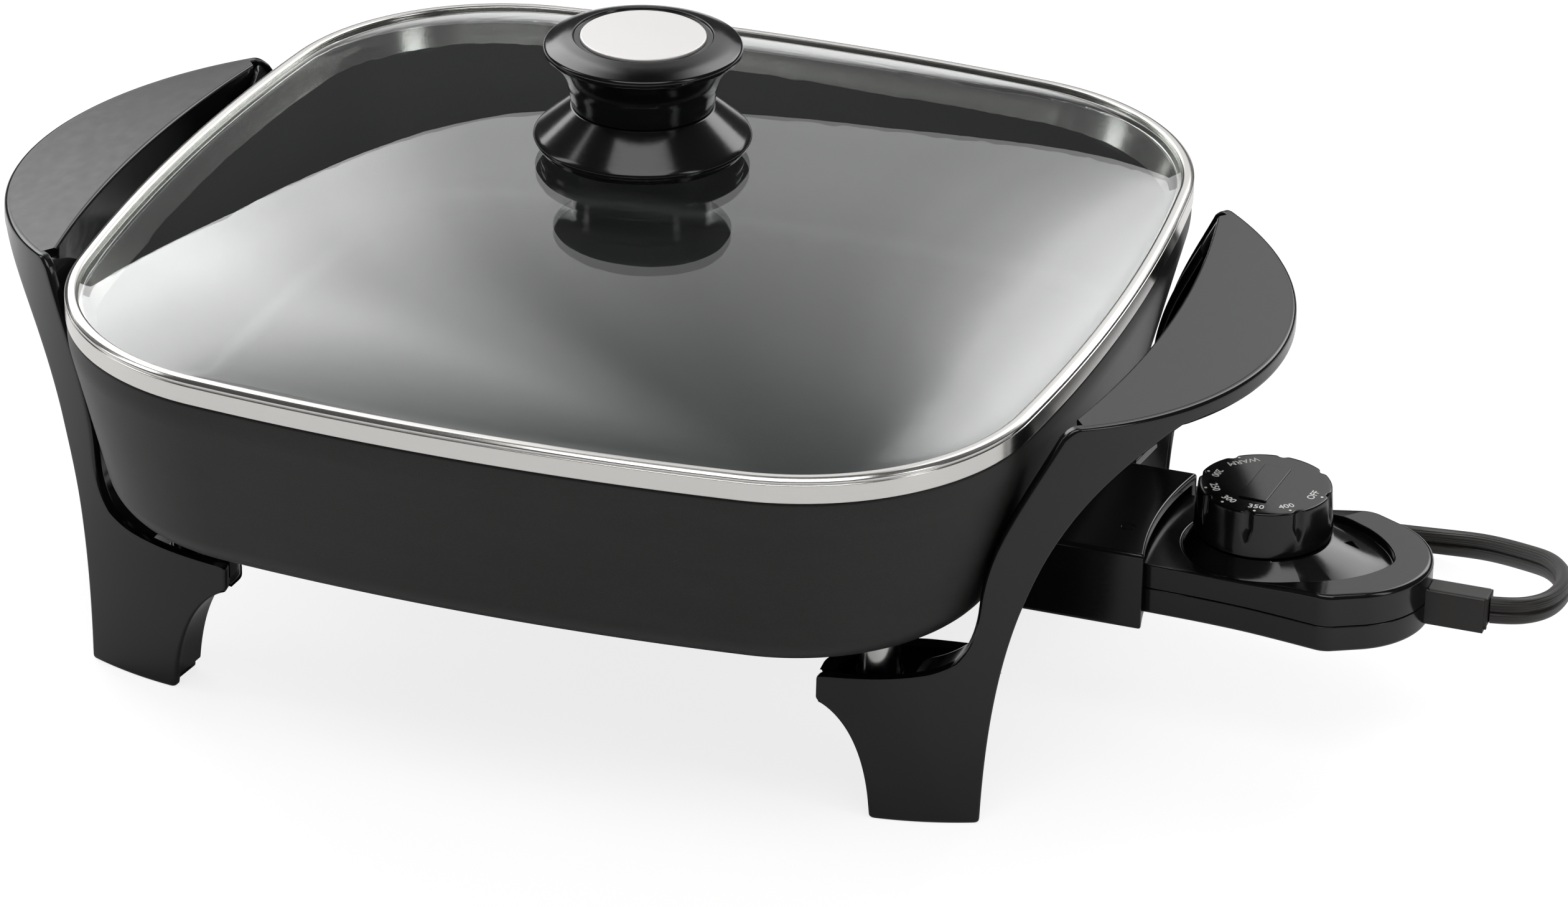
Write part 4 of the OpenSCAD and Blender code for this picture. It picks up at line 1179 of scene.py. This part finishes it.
carve(lower_case, openings + bores + [slab(inside, case_z0 + case_t, seam_z + 1, 0.4)])

finish("case_screws", zinc)


# ---- Inside the control --------------------------------------------------------------------------
# A steel probe with the sensor slides into the well under the pan. Behind it sit a terminal board,
# copper sleeves that take the pins, the thermostat's bracket and leaves, and two sleeved wires.
# Rolled copper alloy: pink-brown, with a patchy tarnish.
copper = grained("spring_copper", 120, 3, {"Metallic": 1, "Roughness": 0.3}, ("#a5694a", "#c98b68"))

board, tree = material("phenolic_paper_board")
# Punched phenolic-paper board: brown and satin, with fibres a few millimetres long.
place_in = add(tree, "ShaderNodeTexCoord")
stretch = add(tree, "ShaderNodeMapping", {"Vector": place_in.outputs["Object"], "Scale": (200, 900, 900)})
fibres = add(tree, "ShaderNodeTexNoise", {"Vector": stretch.outputs["Vector"], "Scale": 1, "Detail": 3})
tone = add(tree, "ShaderNodeMix", {0: fibres.outputs["Fac"], 6: colour("#5e3a20"), 7: colour("#84562f")},
    data_type="RGBA")
surface = add(tree, "ShaderNodeBsdfPrincipled", {"Base Color": tone.outputs[2], "Roughness": 0.4,
    "IOR": 1.55})
add(tree, "ShaderNodeOutputMaterial", {"Surface": surface.outputs[0]})

sleeve, tree = material("glass_fibre_sleeve")
# Braided glass-fibre sleeving, varnished: off-white with a fine diagonal weave.
weave = add(tree, "ShaderNodeTexWave", {"Scale": 300, "Distortion": 1}, bands_direction="DIAGONAL")
tone = add(tree, "ShaderNodeMix", {0: weave.outputs["Fac"], 6: colour("#b9b2a0"), 7: colour("#dcd7c8")},
    data_type="RGBA")
surface = add(tree, "ShaderNodeBsdfPrincipled", {"Base Color": tone.outputs[2], "Roughness": 0.55,
    "IOR": 1.5})
add(tree, "ShaderNodeOutputMaterial", {"Surface": surface.outputs[0]})

for node, made_of in (("terminal_plate", board), ("contact_sleeves", copper), ("thermostat_bracket", zinc),
        ("contact_leaves", copper), ("shaft_bushing", brass), ("lead_wires", sleeve)):
    finish(node, made_of)
probe_r = 2.95
probe_x0 = 67
probe_l = 93
crimp_r = probe_r - 0.25
probe_line = rounded([(0, 0), (probe_r, 0, 2.4), (probe_r, 58, 0.2), (crimp_r, 58.4, 0.1),
    (crimp_r, 59.6, 0.1), (probe_r, 60, 0.2), (probe_r, probe_l), (0, probe_l)], 0.3, 5, closed=False)
piece("sensor_probe", "heat_control", bright_steel,
    [lying(turned(probe_line, steps=48), probe_x0, 0, well_z)], ("probe_tube",))


# ---- Dial ----------------------------------------------------------------------------------------
# A thick round knob in glossy black phenolic on a steel shaft. Eight scooped flutes run down from its
# top edge, and a bare raised bar crosses the top. Temperatures and OFF are printed in white round it.
dial_z = 71.3
dial_low = 57.6
dial_r = 18.9
dial_base_r = 19.8
flutes = 8
flute_deep = 1.3
flute_wide = 1.3
flute_long = 10.5
dial_steps = 360


def dial_ring(r, z, bite=1):
    """One ring of the dial, pressed in at each flute."""
    ring = []
    for i in range(dial_steps):
        turn = 360 * i / dial_steps
        off = (turn * flutes + 180) % 360 - 180
        across_flute = radians(off / flutes) * r
        reach = ramp(z, dial_z - flute_long, dial_z - flute_long + 6)
        wide = flute_wide * (0.35 + 0.65 * reach)
        dip = flute_deep * bite * reach * exp(-(abs(across_flute) / wide) ** 3)
        ring.append((*polar(dial_x, 0, r - dip, radians(turn)), z))
    return ring


def side_of_dial(z):
    """Radius of the dial's tapered side."""
    return dial_base_r + (dial_r - dial_base_r) * (z - dial_low) / (dial_z - dial_low)


dial_edge = 0.55
rings = [dial_ring(4, dial_low), dial_ring(18.9, dial_low), dial_ring(19.5, dial_low + 0.15),
    dial_ring(side_of_dial(dial_low + 0.6), dial_low + 0.6)]
rings += [dial_ring(side_of_dial(z), z) for z in (dial_z - flute_long - 1 + 0.6 * k for k in range(18))]
rings += [dial_ring(side_of_dial(dial_z) - dial_edge * (1 - cos(a)),
    dial_z - dial_edge * (1 - sin(a)), 1 - 0.35 * sin(a)) for a in quarter]
rings += [dial_ring(dial_r - 1.4, dial_z + 0.02, 0.2), dial_ring(dial_r - 3, dial_z + 0.05, 0),
    dial_ring(10, dial_z + 0.1, 0), dial_ring(4, dial_z + 0.12, 0)]
bar_turn = radians(86)
c, s = cos(bar_turn), sin(bar_turn)
bar = [(dial_x + a * c - b * s, a * s + b * c) for a, b in rounded_box(11, 4, 0.6)]
piece("dial_grip", "dial", phenolic,
    [skin(rings), slab(bar, dial_z - 0.6, dial_z + 0.55, 0.25)], ("dial_knob",))
finish("dial_shaft", bright_steel)

# Pad-printed white ink: a thin matt film with slightly uneven cover.
ink = grained("pad_printed_ink", 1500, 2, {"Roughness": 0.55, "IOR": 1.5}, ("#d5d5d2", "#f2f2ef"))

settings = {"OFF": -8, "400": -51, "350": -85, "300": -119, "250": -151, "200": -186, "WARM": -229}
letter_size = 3.1
letter_r = 14.6
dot_r = 17.2
ink_t = 0.06
print_z = dial_z + ink_t
prints = []
for word, turn in settings.items():
    curve = bpy.data.curves.new(word, "FONT")
    curve.body = word
    curve.size = letter_size
    curve.align_x = "CENTER"
    curve.align_y = "CENTER"
    curve.extrude = ink_t
    curve.offset = 0.03
    curve.resolution_u = 3
    holder = shown(word, curve)
    flat = baked(holder)
    angle = radians(turn)
    c, s = cos(angle + pi / 2), sin(angle + pi / 2)
    mid_x, mid_y = polar(dial_x, 0, letter_r, angle)
    points = [(mid_x + v.co.x * c - v.co.y * s, mid_y + v.co.x * s + v.co.y * c, print_z + v.co.z)
        for v in flat.vertices]
    prints.append((points, [tuple(p.vertices) for p in flat.polygons]))
    bpy.data.objects.remove(holder)
    bpy.data.curves.remove(curve)
    bpy.data.meshes.remove(flat)
    prints.append(turned(rectangle(0, 0.4, print_z - ink_t, print_z + ink_t),
        polar(dial_x, 0, dot_r, angle), 16))
piece("dial_print", "dial", ink, prints, (), sharp=40)


# ---- Floor and light -----------------------------------------------------------------------------
# A plain pale table and a plain soft studio: a tall curved scrim behind, lit from both ends so that
# its middle is dimmer, a soft panel overhead, two weaker strips at the sides and an even pale room.
floor_material, tree = material("pale_floor")
# Pale laminate: even and matt. Seen straight or through the glass it is lifted to near white, but not
# where the object reflects it.
path = add(tree, "ShaderNodeLightPath")
unmirrored = add(tree, "ShaderNodeMath", {0: path.outputs["Glossy Depth"], 1: 0.5}, operation="LESS_THAN")
seen_through = add(tree, "ShaderNodeMath", {0: path.outputs["Is Transmission Ray"],
    1: unmirrored.outputs[0]}, operation="MULTIPLY")
straight = add(tree, "ShaderNodeMath", {0: path.outputs["Is Camera Ray"], 1: seen_through.outputs[0]},
    operation="MAXIMUM")
surface = add(tree, "ShaderNodeBsdfPrincipled", {"Base Color": colour("#f4f4f4"), "Roughness": 0.6})
glow = add(tree, "ShaderNodeEmission", {"Color": colour("#ffffff"), "Strength": 1.15})
share = add(tree, "ShaderNodeMath", {0: straight.outputs[0], 1: 0.7}, operation="MULTIPLY")
chosen = add(tree, "ShaderNodeMixShader", {0: share.outputs[0], 1: surface.outputs[0], 2: glow.outputs[0]})
add(tree, "ShaderNodeOutputMaterial", {"Surface": chosen.outputs[0]})

floor_mesh = bpy.data.meshes.new("floor")
floor_half = 3
corners = rectangle(-floor_half, floor_half, -floor_half, floor_half)
floor_mesh.from_pydata([(x, y, 0) for x, y in corners], [], [(0, 1, 2, 3)])
floor_mesh.materials.append(floor_material)
shown("floor", floor_mesh)

world = bpy.data.worlds.new("room")
bpy.context.scene.world = world
world.use_nodes = True
room = world.node_tree
room.nodes.clear()
path = add(room, "ShaderNodeLightPath")
mirrored = add(room, "ShaderNodeMath", {0: path.outputs["Glossy Depth"], 1: 0.5}, operation="GREATER_THAN")
dim = add(room, "ShaderNodeMath", {0: mirrored.outputs[0], 1: -0.38, 2: 0.45}, operation="MULTIPLY_ADD")
unmirrored = add(room, "ShaderNodeMath", {0: 1, 1: mirrored.outputs[0]}, operation="SUBTRACT")
seen_through = add(room, "ShaderNodeMath", {0: path.outputs["Is Transmission Ray"],
    1: unmirrored.outputs[0]}, operation="MULTIPLY")
white = add(room, "ShaderNodeMath", {0: path.outputs["Is Camera Ray"], 1: seen_through.outputs[0]},
    operation="MAXIMUM")
strength = add(room, "ShaderNodeMath", {0: dim.outputs[0], 1: white.outputs[0]}, operation="MAXIMUM")
sky = add(room, "ShaderNodeBackground", {"Color": colour("#ffffff"), "Strength": strength.outputs[0]})
add(room, "ShaderNodeOutputWorld", {"Surface": sky.outputs[0]})


lid_z = 0.12


def lamp(name, turn, tilt, away, width, height, brightness):
    """A soft lamp that the lid sees at a turn from straight behind and a height, both in degrees."""
    aim = Vector((0, 0, lid_z))
    a, e = radians(turn), radians(tilt)
    where = aim + away * Vector((sin(a) * cos(e), cos(a) * cos(e), sin(e)))
    data = bpy.data.lights.new(name, "AREA")
    data.shape = "RECTANGLE"
    data.size = width
    data.size_y = height
    data.energy = brightness * pi * width * height
    light = shown(name, data)
    light.location = where
    light.rotation_euler = (aim - where).to_track_quat("-Z", "Y").to_euler()


scrim_material, tree = material("lit_scrim")
# White scrim cloth lit from behind; each spot's brightness comes from a table across it and its height.
glow = add(tree, "ShaderNodeAttribute", attribute_name="glow")
surface = add(tree, "ShaderNodeEmission", {"Color": colour("#ffffff"), "Strength": glow.outputs["Fac"]})
add(tree, "ShaderNodeOutputMaterial", {"Surface": surface.outputs[0]})

scrim_r = 2.0
scrim_low = 18.2
scrim_high = 72
scrim_left = -66
scrim_right = 34
glow_by_turn = ((scrim_left, 4.8), (-42, 4.2), (-35, 2.6), (-28, 1.4), (-18, 1.05), (-8, 1.1), (-2, 1.35),
    (2, 1.8), (7, 3.2), (14, 4.4), (scrim_right, 4.2))


def scrim_glow(turn, tilt):
    """Brightness of the scrim at a turn and a height in degrees, where 1 is white."""
    for (t0, g0), (t1, g1) in zip(glow_by_turn, glow_by_turn[1:]):
        if t0 <= turn <= t1:
            glow = g0 + (g1 - g0) * ramp(turn, t0, t1)
    middle = ramp(turn, -40, -28) * (1 - ramp(turn, 0, 8))
    fade = 1 - ramp(tilt, 46, scrim_high)
    return glow * (1 - 0.6 * middle * ramp(tilt, 32, 60)) * (0.8 + 0.2 * ramp(tilt, scrim_low, 30)) * fade


columns = 51
rows = 28
mesh = bpy.data.meshes.new("scrim")
spots = []
glows = []
for j in range(rows):
    tilt = scrim_low + (scrim_high - scrim_low) * j / (rows - 1)
    for i in range(columns):
        turn = scrim_left + (scrim_right - scrim_left) * i / (columns - 1)
        a = radians(turn)
        height = lid_z + scrim_r * tan(radians(tilt))
        spots.append((scrim_r * sin(a), scrim_r * cos(a), height))
        glows.append(scrim_glow(turn, tilt))
starts = [j * columns + i for j in range(rows - 1) for i in range(columns - 1)]
mesh.from_pydata(spots, [], [(k, k + 1, k + columns + 1, k + columns) for k in starts])
glow_values = mesh.attributes.new("glow", "FLOAT", "POINT")
for value, brightness in zip(glow_values.data, glows):
    value.value = brightness
mesh.materials.append(scrim_material)
scrim = shown("scrim", mesh)
scrim.visible_camera = False

lamp("overhead_panel", 165, 66, 2.0, 1.6, 1.1, 2.8)
lamp("left_strip", -100, 30, 1.9, 0.35, 1.3, 3)
lamp("right_strip", 105, 30, 1.9, 0.35, 1.3, 3)
